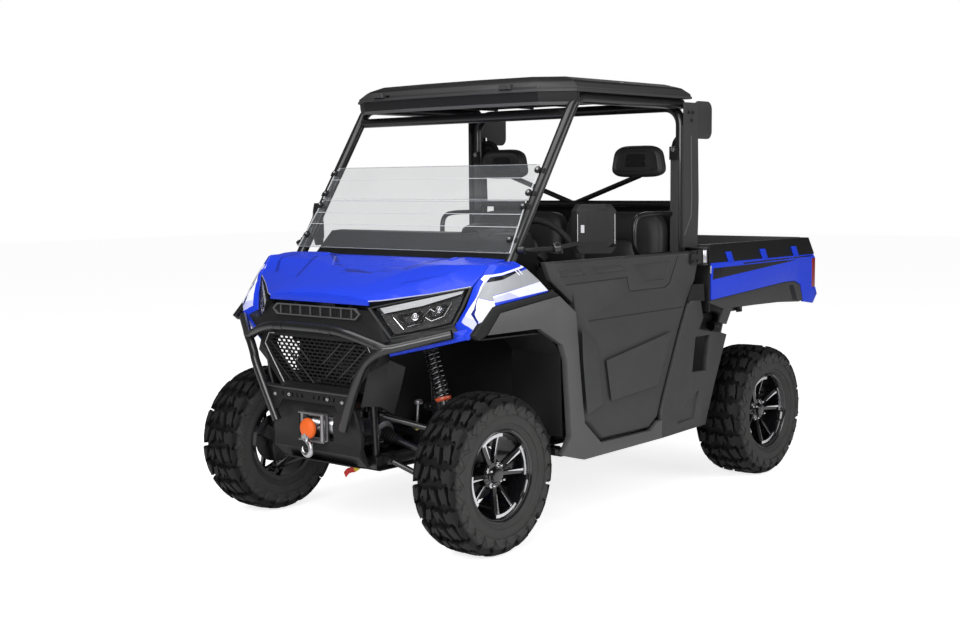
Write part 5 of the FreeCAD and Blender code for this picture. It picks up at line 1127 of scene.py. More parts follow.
mirror = {  # the head's start and size in mm; u runs along it and v inwards through it, both as shares
    "start": (795.0, -622.0), "turn": 41.9, "low": 1203, "high": 1406, "width": 184, "depth": 52,
    "glass": [(0.08, 34), (0.92, 34), (0.96, 60), (0.96, -60), (0.92, -30), (0.08, -30), (0.05, -55),
              (0.05, 60)],
    "glassIn": 0.921, "bulge": 0.11, "heights": (26, 0.25, 0.66, -26), "footLift": 22,
    "shell": [(0.005, 0.42, 0), (0.12, 0.05, 1), (0.34, 0.02, 1), (0.36, 0.05, 1), (0.8, 0.0, 1),
              (0.99, 0.38, 0)],
    "foot": [(0.02, 0.5), (0.13, 0.12), (0.34, 0.1), (0.36, 0.1), (0.79, 0.08), (0.97, 0.5)],
    "patch": (0.19, 0.27, -15, 17), "patchIn": -0.092, "lines": ((0.12, -0.06), (0.97, 0.3)),
    "lineSize": 0.0014, "lineStops": [(0.02, 40, 0.0), (-0.003, 0, 0.3), (-0.003, 0, 0.62), (0.02, -40, 1.0)],
    "clamp": [(-0.016, 0.0), (-0.016, 0.016), (-0.012, 0.019), (0.012, 0.019), (0.016, 0.016), (0.016, 0.0)],
    "clampSpot": (772, -700, 1232), "clampWay": (0.3, 0.8, 0.1),
    "stem": ((752, -640, 1205), (752, -640, 1240)), "stemSize": 0.008,
    "base": ((690, -804, 1223), (665, -812, 1222)), "baseSize": 0.017,
}


def onMirror(u, v, z):
    turn = math.radians(mirror["turn"])
    x, y = mirror["start"]
    a, b = u * mirror["width"], v * mirror["depth"]
    return at(x + a * math.cos(turn) - b * math.sin(turn), y + a * math.sin(turn) + b * math.cos(turn), z)


def makeMirrors():
    glass, shell, patch, clamp = Form(), Form(), Form(), Form()
    low, high = mirror["low"], mirror["high"]
    rise = high - low
    outline = [(u, low + lift if lift > 0 else high + lift) for u, lift in mirror["glass"]]
    inward = (onMirror(0, 1, 0) - onMirror(0, 0, 0)).normalized()
    glass.prism([onMirror(u, mirror["glassIn"], z) for u, z in outline], inward * 0.003, 0.002)
    glass.make("mirrorGlass", "chrome", "vehicle", mirror=True)
    start, lower, upper, end = mirror["heights"]
    bulge = mirror["bulge"]
    rows = []
    heights = (low + start, low + rise * lower, low + rise * upper, high + end)
    for z, out in zip(heights, (0.0, bulge, bulge, 0.0)):
        rows.append([onMirror(u, v - out * share, z) for u, v, share in mirror["shell"]])
    shell.grid(rows)
    footHeights = (low + mirror["footLift"], high - mirror["footLift"])
    feet = [[onMirror(u, v, z) for u, v in mirror["foot"]] for z in footHeights]
    shell.grid([feet[0], rows[0]])
    shell.grid([rows[-1], feet[1]])
    shell.make("mirrorShells", "blackPlastic", "vehicle", None, 10, mirror=True)
    middle = low + rise * 0.5
    u0, u1, under, over = mirror["patch"]
    outline = corners(u0, u1, middle + under, middle + over)
    patch.prism([onMirror(u, mirror["patchIn"], z) for u, z in outline], -inward * 0.0015, 0.0005)
    for u, v in mirror["lines"]:
        path = [onMirror(u, v + step, low + lift + rise * share) for step, lift, share in mirror["lineStops"]]
        patch.pipe(path, mirror["lineSize"], 6)
    patch.make("mirrorPatches", "silverLine", "vehicle", mirror=True)
    clamp.lathe(mirror["clamp"], at(*mirror["clampSpot"]), mirror["clampWay"], 20)
    clamp.pipe([at(*spot) for spot in mirror["stem"]], mirror["stemSize"], 12)
    clamp.pipe([at(*spot) for spot in mirror["base"]], mirror["baseSize"], 16)
    clamp.make("mirrorClamps", "blackSteel", "vehicle", mirror=True)


rearPillar = {  # (y, z) outlines in mm
    "plate": [(514, 1184), (520, 1330), (523, 1412), (512, 1756), (506, 1868), (392, 1868), (392, 1184)],
    "face": 674, "thick": 0.006, "returnFace": (678, 660), "returnBack": 2,
    "fold": [(452, 1712), (461, 1404), (455, 1330), (398, 1243)], "foldFace": 679.5, "foldSize": 0.003,
    "bolts": [(427, 1820), (463, 1820), (453, 1783)], "boltFace": 680,
    "pod": [(-0.03, 0.0), (-0.03, 0.05), (-0.012, 0.064), (0.0, 0.068), (0.006, 0.064), (0.006, 0.05),
            (0.0, 0.044), (0.0, 0.02), (0.006, 0.014), (0.008, 0.0)],
    "podSpot": (612, 470, 1655), "podWay": (-0.3, -1, 0),
    "podStalk": ((640, 455, 1655), (668, 470, 1655)), "stalkSize": 0.018,
}


def makePillars():
    plate, edge, bolts, pods = Form(), Form(), Form(), Form()
    plate.prism(along(rearPillar["plate"], rearPillar["face"]), (rearPillar["thick"], 0, 0), 0.002)
    back = rearPillar["returnBack"]
    plate.grid([[at(x, y - back, z) for x in rearPillar["returnFace"]] for y, z in rearPillar["plate"][:5]])
    plate.make("pillarPlates", "greyPlastic", "vehicle", "black_steel", 30, mirror=True)
    edge.pipe(along(rearPillar["fold"], rearPillar["foldFace"]), rearPillar["foldSize"], 8)
    edge.make("pillarEdges", "panelPlastic", "vehicle", mirror=True)
    for spot in along(rearPillar["bolts"], rearPillar["boltFace"]):
        bolts.bolt(spot, (1, 0, 0), 0.007)
    bolts.make("pillarBolts", "blackSteel", "vehicle", mirror=True)
    pods.lathe(rearPillar["pod"], at(*rearPillar["podSpot"]), rearPillar["podWay"], 40)
    pods.pipe([at(*spot) for spot in rearPillar["podStalk"]], rearPillar["stalkSize"], 12)
    pods.make("beltPods", "blackPlastic", "vehicle", None, 30, mirror=True)


makeScreen()
makeRoof()
makeMirrors()
makePillars()
print("cab made")


# doors and rear corners

door = {  # (y, z) outlines in mm
    "face": 745.0,
    "fields": [([(-316, 723), (196, 807), (84, 570), (-278, 539)], 0.0035, 0.012),
               ([(-490, 884), (-383, 804), (-345, 533), (-454, 501), (-484, 740)], 0.003, 0.006)],
    "hinge": (748, 466, 1142),
    "barrel": [(-0.03, 0.0), (-0.03, 0.0128), (-0.028, 0.0138), (0.028, 0.0138), (0.03, 0.0128), (0.03, 0.0)],
    "plate": corners(352, 440, 1108, 1174), "plateThick": 6,
    "bolts": [(366, 1122), (366, 1160), (404, 1122), (404, 1160)],
    "latch": corners(-520, -470, 1010, 1060), "latchIn": 60,
}


def makeDoors():
    face, thick = door["face"], door["plateThick"]
    for side, name in ((1, "left"), (-1, "right")):
        body = name + "_door"
        fields, steel, bolts, latch = Form(), Form(), Form(), Form()
        for outline, rise, edge in door["fields"]:
            fields.prism(along(outline, side * face), (side * rise, 0, 0), edge)
        fields.make(name + "DoorFields", "greyPlastic", body, None, 20)
        x, y, z = door["hinge"]
        steel.lathe(door["barrel"], at(side * x, y, z), (0, 0, 1), 28)
        steel.make(name + "HingeBarrel", "bareSteel", body)
        for spot in along(door["bolts"], side * (face + thick)):
            bolts.bolt(spot, (side, 0, 0), 0.007)
        bolts.prism(along(door["plate"], side * face), (side * thick / 1000, 0, 0), 0.001)
        bolts.make(name + "HingePlate", "blackSteel", body)
        latch.prism(along(door["latch"], side * (face - door["latchIn"])), (side * 0.01, 0, 0), 0.002)
        latch.make(name + "DoorLatch", "bareSteel", body)


rearSide = {  # (y, z) outlines in mm
    "shield": [(560, 918), (724, 907), (903, 851), (855, 749), (775, 652), (729, 535), (563, 544)],
    "shieldX": 598, "corner": [(383, 1013), (478, 1012), (485, 927), (335, 938)], "cornerX": 736,
    "duct": [(664, 871), (724, 873), (797, 843), (781, 793), (725, 780)], "ductX": 625, "ductSize": 0.024,
    "clip": [(-0.006, 0.024), (-0.005, 0.027), (0.005, 0.027), (0.006, 0.024)], "clipWay": (0, 1, -0.5),
}


def makeRearCorners():
    shield, duct = Form(), Form()
    shield.prism(along(rearSide["shield"], rearSide["shieldX"]), (0.004, 0, 0))
    shield.prism(along(rearSide["corner"], rearSide["cornerX"]), (0.005, 0, 0), 0.002)
    shield.make("rearShields", "blackPlastic", "vehicle", None, 30, mirror=True)
    path = along(rearSide["duct"], rearSide["ductX"])
    duct.pipe(curve(path, 5), rearSide["ductSize"], 16)
    for spot in path[1:4]:
        duct.lathe(rearSide["clip"], spot, rearSide["clipWay"], 20)
    duct.make("airDucts", "lampBlack", "vehicle", None, 40, mirror=True)


# seats, belts and controls

seat = {  # each pad's half size, outline power and taper; levels hold a share of its size and a height in mm
    "cushion": {"base": (299, 77, 690), "half": (290, 207), "power": 7.0, "taper": 0.0, "pipe": (0.972, 90),
                "levels": [(0.96, 0), (1.0, 12), (1.0, 78), (0.985, 88), (0.955, 93), (0.91, 107),
                           (0.85, 114), (0.72, 118), (0.6, 115), (0.57, 108), (0.54, 114), (0.36, 119),
                           (0.05, 120)]},
    "back": {"base": (299, 388, 1022), "half": (290, 328), "power": 7.0, "taper": 0.0, "pipe": (0.972, 70),
             "levels": [(0.96, 0), (1.0, 10), (1.0, 60), (0.985, 68), (0.955, 72), (0.9, 84), (0.82, 89),
                        (0.66, 90), (0.55, 87), (0.52, 80), (0.49, 87), (0.3, 91), (0.05, 92)]},
    "rest": {"base": (425, 415, 1595), "half": (142, 74), "power": 4.5, "taper": 0.1, "pipe": (0.995, 30),
             "levels": [(0.8, 0), (0.94, 6), (1.0, 20), (0.99, 38), (0.93, 50),
                        (0.82, 58), (0.74, 59), (0.66, 54), (0.58, 52), (0.05, 53)]},
    "lean": (0, 60, 660), "pipeSize": 0.0022, "ringPoints": 40,
    "button": [(0.0, 0.013), (0.002, 0.0125), (0.003, 0.009), (0.001, 0.007)], "buttonSpan": 45,
    "buttonIn": 52.5, "rearBolt": (1, -10),
    "plate": [(-62, -27), (62, -27), (56, 26), (44, 34), (-44, 34), (-56, 26)], "plateIn": 51.5,
}


def padRing(facts, trim, least=0.0):  # a rounded outline, trimmed in from the pad's own
    halfA, halfB = [max(half - trim, half * least) for half in facts["half"]]
    ring = []
    for number in range(seat["ringPoints"]):
        turn = math.tau * (number + 0.5) / seat["ringPoints"]
        a = math.copysign(abs(math.cos(turn)) ** (2 / facts["power"]), math.cos(turn)) * halfA
        b = math.copysign(abs(math.sin(turn)) ** (2 / facts["power"]), math.sin(turn)) * halfB
        ring.append((a * (1 - facts["taper"] * b / halfB), b))
    return ring


def onPad(facts, ring, height, right, up, out):
    return [at(*facts["base"]) + right * (a / 1000) + up * (b / 1000) + out * (height / 1000)
            for a, b in ring]


def makePad(name, key, node, piping, up, out):  # a crowned pad with its tuft line, and the piping round it
    facts, right = seat[key], Vector((1, 0, 0))
    form = Form()
    small = min(facts["half"])
    rows = [onPad(facts, padRing(facts, (1 - share) * small, 0.02), height, right, up, out)
            for share, height in facts["levels"]]
    form.grid(rows, closed=True, ends=True)
    share, height = facts["pipe"]
    path = onPad(facts, padRing(facts, (1 - share) * small), height, right, up, out)
    piping.pipe(path + path[:2], seat["pipeSize"], 6, ends=False)
    piece = form.make(name, "seatVinyl", "vehicle", "seat_cover", 50, mirror=True)
    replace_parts(piece, node)


def makeSeats():
    piping, fixings, plate = Form(), Form(), Form()
    lean = Vector(seat["lean"]).normalized()
    makePad("cushions", "cushion", "seat_cushions", piping, Vector((0, 1, 0)), Vector((0, 0, 1)))
    makePad("backrests", "back", "seat_backs", piping, lean, Vector((0, -lean.z, lean.y)))
    makePad("restPads", "rest", "headrests", piping, Vector((0, 0, 1)), Vector((0, -1, 0)))
    piping.make("seatPiping", "greyPlastic", "vehicle", mirror=True)
    x, y, z = seat["rest"]["base"]
    for side in (-seat["buttonSpan"], seat["buttonSpan"]):
        spot = at(x + side, y - seat["buttonIn"], z)
        fixings.lathe(seat["button"], spot, (0, -1, 0), 20)
        fixings.bolt(spot, (0, -1, 0), 0.006)
        out, drop = seat["rearBolt"]
        fixings.bolt(at(x + side, y + out, z + drop), (0, 1, 0), 0.008)
    outline = [(x + a, z + b) for a, b in seat["plate"]]
    plate.prism(across(outline, y - seat["plateIn"]), (0, -0.003, 0), 0.002)
    plate.make("restPlates", "blackPlastic", "vehicle", mirror=True)
    fixings.make("restBolts", "blackSteel", "vehicle", mirror=True)


belt = {  # (x, z) boxes in mm: the upper guide, the reel and the two buckles with their buttons
    "bolt": (623, 391, 1648), "guide": corners(598, 648, 1600, 1662), "guideY": 393, "guideDepth": 0.006,
    "reel": corners(600, 646, 700, 780), "reelY": 396, "reelDepth": 0.034,
    "buckles": (24, 560), "buckle": [(0, 250, 790), (30, 250, 790), (30, 262, 880), (0, 262, 880)],
    "buckleDepth": 0.02, "button": corners(7, 23, 254, 270), "buttonZ": 880.5, "buttonRise": 0.004,
}


def makeBelts():
    steel, black, red = Form(), Form(), Form()
    steel.bolt(at(*belt["bolt"]), (0, -1, 0), 0.012)
    black.prism(across(belt["guide"], belt["guideY"]), (0, -belt["guideDepth"], 0), 0.003)
    black.prism(across(belt["reel"], belt["reelY"]), (0, -belt["reelDepth"], 0), 0.006)
    for x in belt["buckles"]:
        black.prism([at(x + a, y, z) for a, y, z in belt["buckle"]], (0, belt["buckleDepth"], 0), 0.003)
        outline = [(x + a, y) for a, y in belt["button"]]
        red.prism(level(outline, belt["buttonZ"]), (0, 0, belt["buttonRise"]), 0.001)
    steel.make("beltBolts", "bareSteel", "vehicle", mirror=True)
    black.make("beltReels", "blackPlastic", "vehicle", mirror=True)
    red.make("beltButtons", "redMark", "vehicle", mirror=True)


handBars = {  # the hip hoop beside the seat and the grab bar on the dashboard, in mm
    "hipX": 603, "hipSize": 0.012, "grabSize": 0.011,
    "hip": [(395, 1345), (180, 1345), (110, 1320), (96, 1250), (110, 1180), (180, 1155), (395, 1155)],
    "grab": [(470, -612, 1215), (470, -560, 1222), (380, -552, 1222),
             (200, -552, 1222), (110, -560, 1222), (110, -612, 1215)],
}


def makeBars():
    bars = Form()
    bars.pipe(curve(along(handBars["hip"], handBars["hipX"])), handBars["hipSize"], 14)
    bars.pipe(curve([at(*spot) for spot in handBars["grab"]]), handBars["grabSize"], 12)
    bars.make("hipBars", "blackSteel", "vehicle", mirror=True)


steering = {  # centre in mm, tilt in degrees, the rest in metres
    "centre": (330, -215, 1165), "tilt": 25, "ring": 0.178, "grip": 0.015, "finger": 0.07, "fingers": 24,
    "steps": 72, "sides": 12, "spokeStart": 0.03, "spokeEnd": 0.035, "flat": 0.8, "under": 0.004,
    "over": 0.003,
    "spoke": [(0.0, 0.032, -0.022), (0.35, 0.024, -0.02), (0.75, 0.017, -0.01), (1.0, 0.02, 0.0)],
    "hub": [(-0.43, 0.0), (-0.43, 0.013), (-0.06, 0.013), (-0.06, 0.03), (-0.05, 0.036), (-0.02, 0.04),
            (-0.004, 0.046), (0.004, 0.044), (0.01, 0.03), (0.012, 0.0)],
}


def makeSteering():
    ring, hub = Form(), Form()
    tilt = math.radians(steering["tilt"])
    axis = Vector((0, math.cos(tilt), math.sin(tilt)))
    centre = at(*steering["centre"])
    side = Vector((1, 0, 0))
    up = axis.cross(side)
    rows = []
    for step in range(steering["steps"]):
        turn = math.tau * step / steering["steps"]
        out = side * math.cos(turn) + up * math.sin(turn)
        grip = steering["grip"] * (1 + steering["finger"] * math.cos(turn * steering["fingers"]))
        turns = [math.tau * k / steering["sides"] for k in range(steering["sides"])]
        rows.append([centre + out * (steering["ring"] + grip * math.cos(a)) + axis * grip * math.sin(a)
                     for a in turns])
    ring.grid(rows + rows[:1], closed=True)
    under, over = axis * steering["under"], axis * steering["over"]
    for turn in (0.0, math.pi / 2, math.pi):
        out = side * math.cos(turn) + up * math.sin(turn)
        sideways = axis.cross(out)
        spoke = []
        for share, wide, drop in steering["spoke"]:
            reach = steering["spokeStart"] + (steering["ring"] - steering["spokeEnd"]) * share
            middle = centre + out * reach + axis * drop
            outer, inner = sideways * wide, sideways * wide * steering["flat"]
            spoke.append([middle + outer - under, middle + inner + over, middle - inner + over,
                          middle - outer - under])
        ring.grid(spoke, closed=True, ends=True)
    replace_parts(ring.make("handWheel", "gripRubber", "hand_wheel", "grip_rubber", 50), "steering_wheel")
    hub.lathe(steering["hub"], centre, axis, 40)
    hub.make("handWheelHub", "blackPlastic", "hand_wheel", "black_plastic")


dash = {  # (x, z) outlines on the dashboard's rear face, in mm
    "face": -596, "from": 1094, "slope": 0.035,
    "lids": [[(-520, 1010), (-190, 1010), (-180, 1030), (-180, 1150), (-190, 1165), (-520, 1165),
              (-532, 1150), (-532, 1025)],
             [(130, 1010), (250, 1010), (250, 1100), (130, 1100)],
             [(420, 1010), (540, 1010), (540, 1165), (420, 1165)]],
    "lidDepth": 0.008,
    "vents": (-555, -120, 90, 560), "ventZ": 1140, "slats": 5, "slatPitch": 0.007,
    "slat": corners(-17, 17, -1, 1),
    "vent": [(-0.002, 0.026), (0.007, 0.026), (0.009, 0.023), (0.005, 0.02), (0.002, 0.018)], "keys": (2, 4),
    "keySpot": (-80, 1085), "keyPitch": (38, 42), "key": (26, 30), "mark": (9, 17, 20, 23),
    "hood": [(-96, 0), (-90, 40), (-60, 56), (60, 56), (90, 40), (96, 0)], "hoodSpot": (330, 1268),
    "hoodRows": [(-735, 0.55), (-700, 0.85), (-640, 1.0), (-600, 0.98), (-604, 0.9), (-640, 0.88)],
    "screen": (-622, 1272), "screenShares": (0.84, 0.8), "screenLean": -0.15, "screenMiddle": 20,
}


def onDash(x, z, lift=0):  # a point on the dashboard's rear face, lifted off it in mm
    return at(x, dash["face"] + (z - dash["from"]) * dash["slope"] + lift, z)


def makeDash():
    lid, screen, light = Form(), Form(), Form()
    for outline in dash["lids"]:
        lid.prism([onDash(x, z) for x, z in outline], (0, dash["lidDepth"], 0), 0.004)
    for x in dash["vents"]:
        spot = onDash(x, dash["ventZ"], 1)
        lid.lathe(dash["vent"], spot, (0, 1, 0), 28)
        for step in range(dash["slats"]):
            rise = (step - dash["slats"] // 2) * dash["slatPitch"]
            lid.prism([spot + Vector((a / 1000, 0.001, rise + b / 1000)) for a, b in dash["slat"]],
                      (0, 0.005, 0))
    rows, columns = dash["keys"]
    wide, tall = dash["key"]
    u0, u1, v0, v1 = dash["mark"]
    for row in range(rows):
        for column in range(columns):
            x = dash["keySpot"][0] + column * dash["keyPitch"][0]
            z = dash["keySpot"][1] - row * dash["keyPitch"][1]
            lid.prism([onDash(a, b) for a, b in corners(x, x + wide, z, z + tall)], (0, 0.009, 0), 0.003)
            mark = corners(x + u0, x + u1, z + v0, z + v1)
            light.prism([onDash(a, b, 9) for a, b in mark], (0, 0.0006, 0))
    x0, z0 = dash["hoodSpot"]
    lid.grid([across([(x0 + x * scale, z0 + z * scale) for x, z in dash["hood"]], y)
              for y, scale in dash["hoodRows"]])
    y0, z0 = dash["screen"]
    wide, tall = dash["screenShares"]
    outline = []
    for x, z in dash["hood"]:
        y = y0 + (z - dash["screenMiddle"]) * dash["screenLean"]
        outline.append(at(x0 + x * wide, y, z0 + z * tall))
    screen.prism(outline, (0, 0.003, 0), 0.002)
    lid.make("dashParts", "blackPlastic", "vehicle", None, 30)
    screen.make("dashScreen", "lampBlack", "vehicle")
    light.make("dashMarks", "whiteLight", "vehicle")


makeDoors()
makeRearCorners()
makeSeats()
makeBelts()
makeBars()
makeSteering()
makeDash()
print("doors, seats and controls made")


# suspension and winch

shock = {  # place and height of head and foot in mm; from, to, collar and band are shares of the length
    "topX": 375, "footX": 470, "front": (-1035, 826, 516.8), "rear": (1035, 766, 520.6),
    "coil": 0.03, "wire": 0.0052, "turns": 10, "steps": 16, "from": 0.062, "to": 0.66, "closing": 0.012,
    "collarAt": 0.68, "bandAt": 0.72, "boltOut": 0.019,
    "collar": [(-0.004, 0.022), (-0.004, 0.034), (0.006, 0.034), (0.012, 0.028), (0.012, 0.022)],
    "band": [(0.0, 0.0235), (0.02, 0.0235), (0.022, 0.026), (0.034, 0.026), (0.036, 0.0235), (0.06, 0.0235)],
}


def makeSprings():
    wire, collar, top = Form(), Form(), Form()
    for end in ("front", "rear"):
        y, high, low = shock[end]
        head, foot = at(shock["topX"], y, high), at(shock["footX"], y, low)
        reach = foot - head
        way = reach.normalized()
        first = way.orthogonal().normalized()
        second = way.cross(first)
        path = []
        steps = shock["turns"] * shock["steps"]
        for step in range(steps + 1):
            turn = math.tau * step / shock["steps"]
            share = step / steps
            ease = share - math.sin(math.tau * share) * shock["closing"]
            spot = head + reach * (shock["from"] + (shock["to"] - shock["from"]) * ease)
            path.append(spot + (first * math.cos(turn) + second * math.sin(turn)) * shock["coil"])
        wire.pipe(path, shock["wire"], 8)
        collar.lathe(shock["collar"], head + reach * shock["collarAt"], way, 28)
        top.lathe(shock["band"], head + reach * shock["bandAt"], way, 24)
        for spot in (head, foot):
            for side in (-1, 1):
                top.bolt(spot + Vector((0, side * shock["boltOut"], 0)), (0, side, 0), 0.009)
    piece = wire.make("springs", "springSteel", "vehicle", "bare_steel", 60, mirror=True)
    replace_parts(piece, "coil_springs")
    collar.make("springCollars", "springRed", "vehicle", mirror=True)
    top.make("shockBands", "blackSteel", "vehicle", mirror=True)


boot = {  # the rubber bellows at both ends of each half shaft; folds in metres
    "axles": (-1035, 1035), "inner": (97, 425), "outer": (554, 330), "gap": 0.002,
    "folds": 5, "pitch": 0.014, "wide": 0.038, "narrowing": 0.0042, "crest": 0.006, "valley": 0.013,
    "start": [(0.0, 0.037)], "end": [(0.078, 0.0175), (0.09, 0.017), (0.09, 0.013)],
    "largeClip": [(0.0, 0.0385), (0.0, 0.0395), (0.005, 0.0395), (0.005, 0.0385)],
    "smallClip": [(0.0, 0.0176), (0.0, 0.0184), (0.005, 0.0184), (0.005, 0.0176)], "smallAt": 0.082,
}


def bellows():
    profile = list(boot["start"])
    for step in range(boot["folds"]):
        wide, start = boot["wide"] - step * boot["narrowing"], step * boot["pitch"]
        profile += [(boot["crest"] + start, wide), (boot["valley"] + start, wide - boot["crest"])]
    return profile + boot["end"]


def makeBoots():
    boots, clips = Form(), Form()
    (innerX, innerZ), (outerX, outerZ) = boot["inner"], boot["outer"]
    for y in boot["axles"]:
        inner, outer = at(innerX, y, innerZ), at(outerX, y, outerZ)
        shaft = (outer - inner).normalized()
        for start, way in ((inner, shaft), (outer, -shaft)):
            boots.lathe(bellows(), start + way * boot["gap"], way, 28)
            clips.lathe(boot["largeClip"], start + way * boot["gap"], way, 28)
            clips.lathe(boot["smallClip"], start + way * boot["smallAt"], way, 24)
    boots.make("shaftBoots", "gripRubber", "vehicle", None, 50, mirror=True)
    clips.make("bootClips", "bareSteel", "vehicle", mirror=True)


winch = {  # the rope's end at (y, z) in mm; drops are below it
    "end": (-1383.0, 490.0), "hookOut": 15, "neck": (30, 52), "bendDrop": 84, "bend": 27,
    "turns": range(15, 300, 15), "neckSizes": [0.009, 0.0095], "hookSize": 0.0085, "swell": 0.004,
    "tipSizes": [0.006, 0.003],
    "stopper": [(-0.026, 0.0), (-0.026, 0.02), (-0.024, 0.03), (-0.016, 0.041), (-0.008, 0.044),
                (0.0, 0.042), (0.0, 0.0)],
    "cheek": (9, 8, -20, -52), "eye": [(-0.012, 0.0), (-0.012, 0.011), (0.012, 0.011), (0.012, 0.0)],
    "pinHalf": 17, "pinSize": 0.0065,
    "rope": ((0, -1355, 490), (0, -1290, 502)), "ropeSize": 0.005, "laps": 14, "lapSpot": (-62, -1270, 490),
    "lapPitch": 9.4, "lap": [(-0.0045, 0.043), (0.0, 0.0468), (0.0045, 0.043)],
}
strap = {  # the tail of the winch strap: a red stretch, then a yellow one
    "path": [(82, -1262, 284), (104, -1262, 304), (140, -1262, 314), (172, -1262, 334), (190, -1262, 352)],
    "change": 2,
    "section": [(-0.006, -0.002, 0.01), (0.006, -0.002, -0.01), (0.006, 0.001, -0.01), (-0.006, 0.001, 0.01)],
}


def makeHook():
    hook, pin = Form(), Form()
    y, z = winch["end"]
    y -= winch["hookOut"]
    path = [at(0, y, z - drop) for drop in winch["neck"]]
    for turn in [math.radians(angle) for angle in winch["turns"]]:
        path.append(at(math.sin(turn) * winch["bend"], y,
                       z - winch["bendDrop"] + math.cos(turn) * winch["bend"]))
    sizes = [winch["hookSize"] + winch["swell"] * math.sin(math.pi * min(1.0, k / 14)) for k in range(17)]
    hook.pipe(path, (winch["neckSizes"] + sizes + winch["tipSizes"])[:len(path)], 12)
    x, half, top, low = winch["cheek"]
    for side in (-1, 1):
        cheek = along([(y - half, z + top), (y + half, z + top), (y + half, z + low), (y - half, z + low)],
                      side * x)
        hook.prism(cheek, (side * 0.004, 0, 0), 0.002)
    eye = z - winch["neck"][0]
    hook.lathe(winch["eye"], at(0, y, eye), (0, 1, 0), 20)
    hook.make("winchHook", "bareSteel", "vehicle", None, 50)
    pin.pipe([at(side * winch["pinHalf"], y, eye) for side in (-1, 1)], winch["pinSize"], 12)
    pin.make("winchPin", "bluePin", "vehicle")


def makeWinch():
    stopper, rope = Form(), Form()
    stopper.lathe(winch["stopper"], at(0, *winch["end"]), (0, 1, 0), 32)
    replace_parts(stopper.make("winchStopper", "orangeRubber", "vehicle", "orange_rubber", 50), "winch_hook")
    makeHook()
    rope.pipe([at(*spot) for spot in winch["rope"]], winch["ropeSize"], 10)
    x, y, z = winch["lapSpot"]
    for step in range(winch["laps"]):
        rope.lathe(winch["lap"], at(x + step * winch["lapPitch"], y, z), (1, 0, 0), 32)
    rope.make("winchRope", "bareSteel", "vehicle", None, 50)
    ends = [at(*spot) for spot in strap["path"]]
    change = strap["change"]
    for name, finish, part in (("strapTail", "redMark", ends[:change + 1]),
                               ("strapHead", "yellowWeb", ends[change:])):
        web = Form()
        rows = [[spot + Vector(corner) for corner in strap["section"]] for spot in curve(part, 4)]
        web.grid(rows, closed=True, ends=True)
        web.make(name, finish, "vehicle")


guard = {  # places in mm, tube sizes in metres; the plate's slots lie between its two bands
    "top": [(0, -1405, 914), (120, -1404.5, 913.5), (205, -1400, 909), (290, -1386, 890), (422, -1346, 846)],
    "wing": [(372, -1362, 862), (422, -1346, 847), (500, -1292, 866), (560, -1251, 883), (639, -1197, 906)],
    "leg": [(470, -1313, 857), (424, -1345, 845), (378, -1370, 822), (342, -1386, 785),
            (318, -1393, 740), (262, -1391, 630), (204, -1382, 504)],
    "tube": 0.019, "bar": (12, 6, 0.009), "plate": -1386, "half": 254, "low": 600, "high": 646,
    "bandShare": 0.3, "slots": 5, "pitch": 30, "slot": 9, "lean": 5, "endShare": 0.96, "plateDepth": 0.006,
    "lowShares": (0.93, 0.945), "highShares": (0.985, 1.0), "footShares": (0.93, 0.84, 0.76, 0.62),
    "sleeveEnds": ((118, -1404.5, 913.5), (172, -1402, 911)),
    "sleeve": [(0.0, 0.0192), (0.0, 0.0208), (0.003, 0.0208), (0.003, 0.0199),
               (0.051, 0.0199), (0.051, 0.0208), (0.054, 0.0208), (0.054, 0.0192)],
    "cap": [(-0.004, 0.0), (-0.001, 0.0145), (0.0, 0.0185), (0.0035, 0.0185), (0.0035, 0.0)],
    "capWay": (0.55, 1, 0.06), "plateBolts": [(118, 623), (206, 618)], "towerBolts": [(68, 437), (68, 548)],
    "tower": -1351.4,
}


def guardPlates():  # (x, z) outlines of half the slotted plate
    low, high, half, share = guard["low"], guard["high"], guard["half"], guard["bandShare"]
    rise = high - low
    bottom, top = low + rise * share, high - rise * share
    (a, b), (c, d) = guard["lowShares"], guard["highShares"]
    foot = [half * part for part in guard["footShares"]]
    outlines = [[(0, low), (half * a, low), (half * b, bottom), (0, bottom)],
                [(0, top), (half * c, top), (half * d, high), (0, high)],
                [(foot[0], low), (foot[1], low - rise), (foot[2], low - rise), (foot[3], low)]]
    edges = [guard["pitch"] * number for number in range(guard["slots"] + 1)] + [half * guard["endShare"]]
    for number, (start, end) in enumerate(zip(edges, edges[1:])):
        left, lean = (start + guard["slot"], guard["lean"]) if number else (start, 0)
        over = guard["lean"] if number < guard["slots"] else 0
        outlines.append([(left, bottom), (end, bottom), (end + over, top), (left + lean, top)])
    return outlines


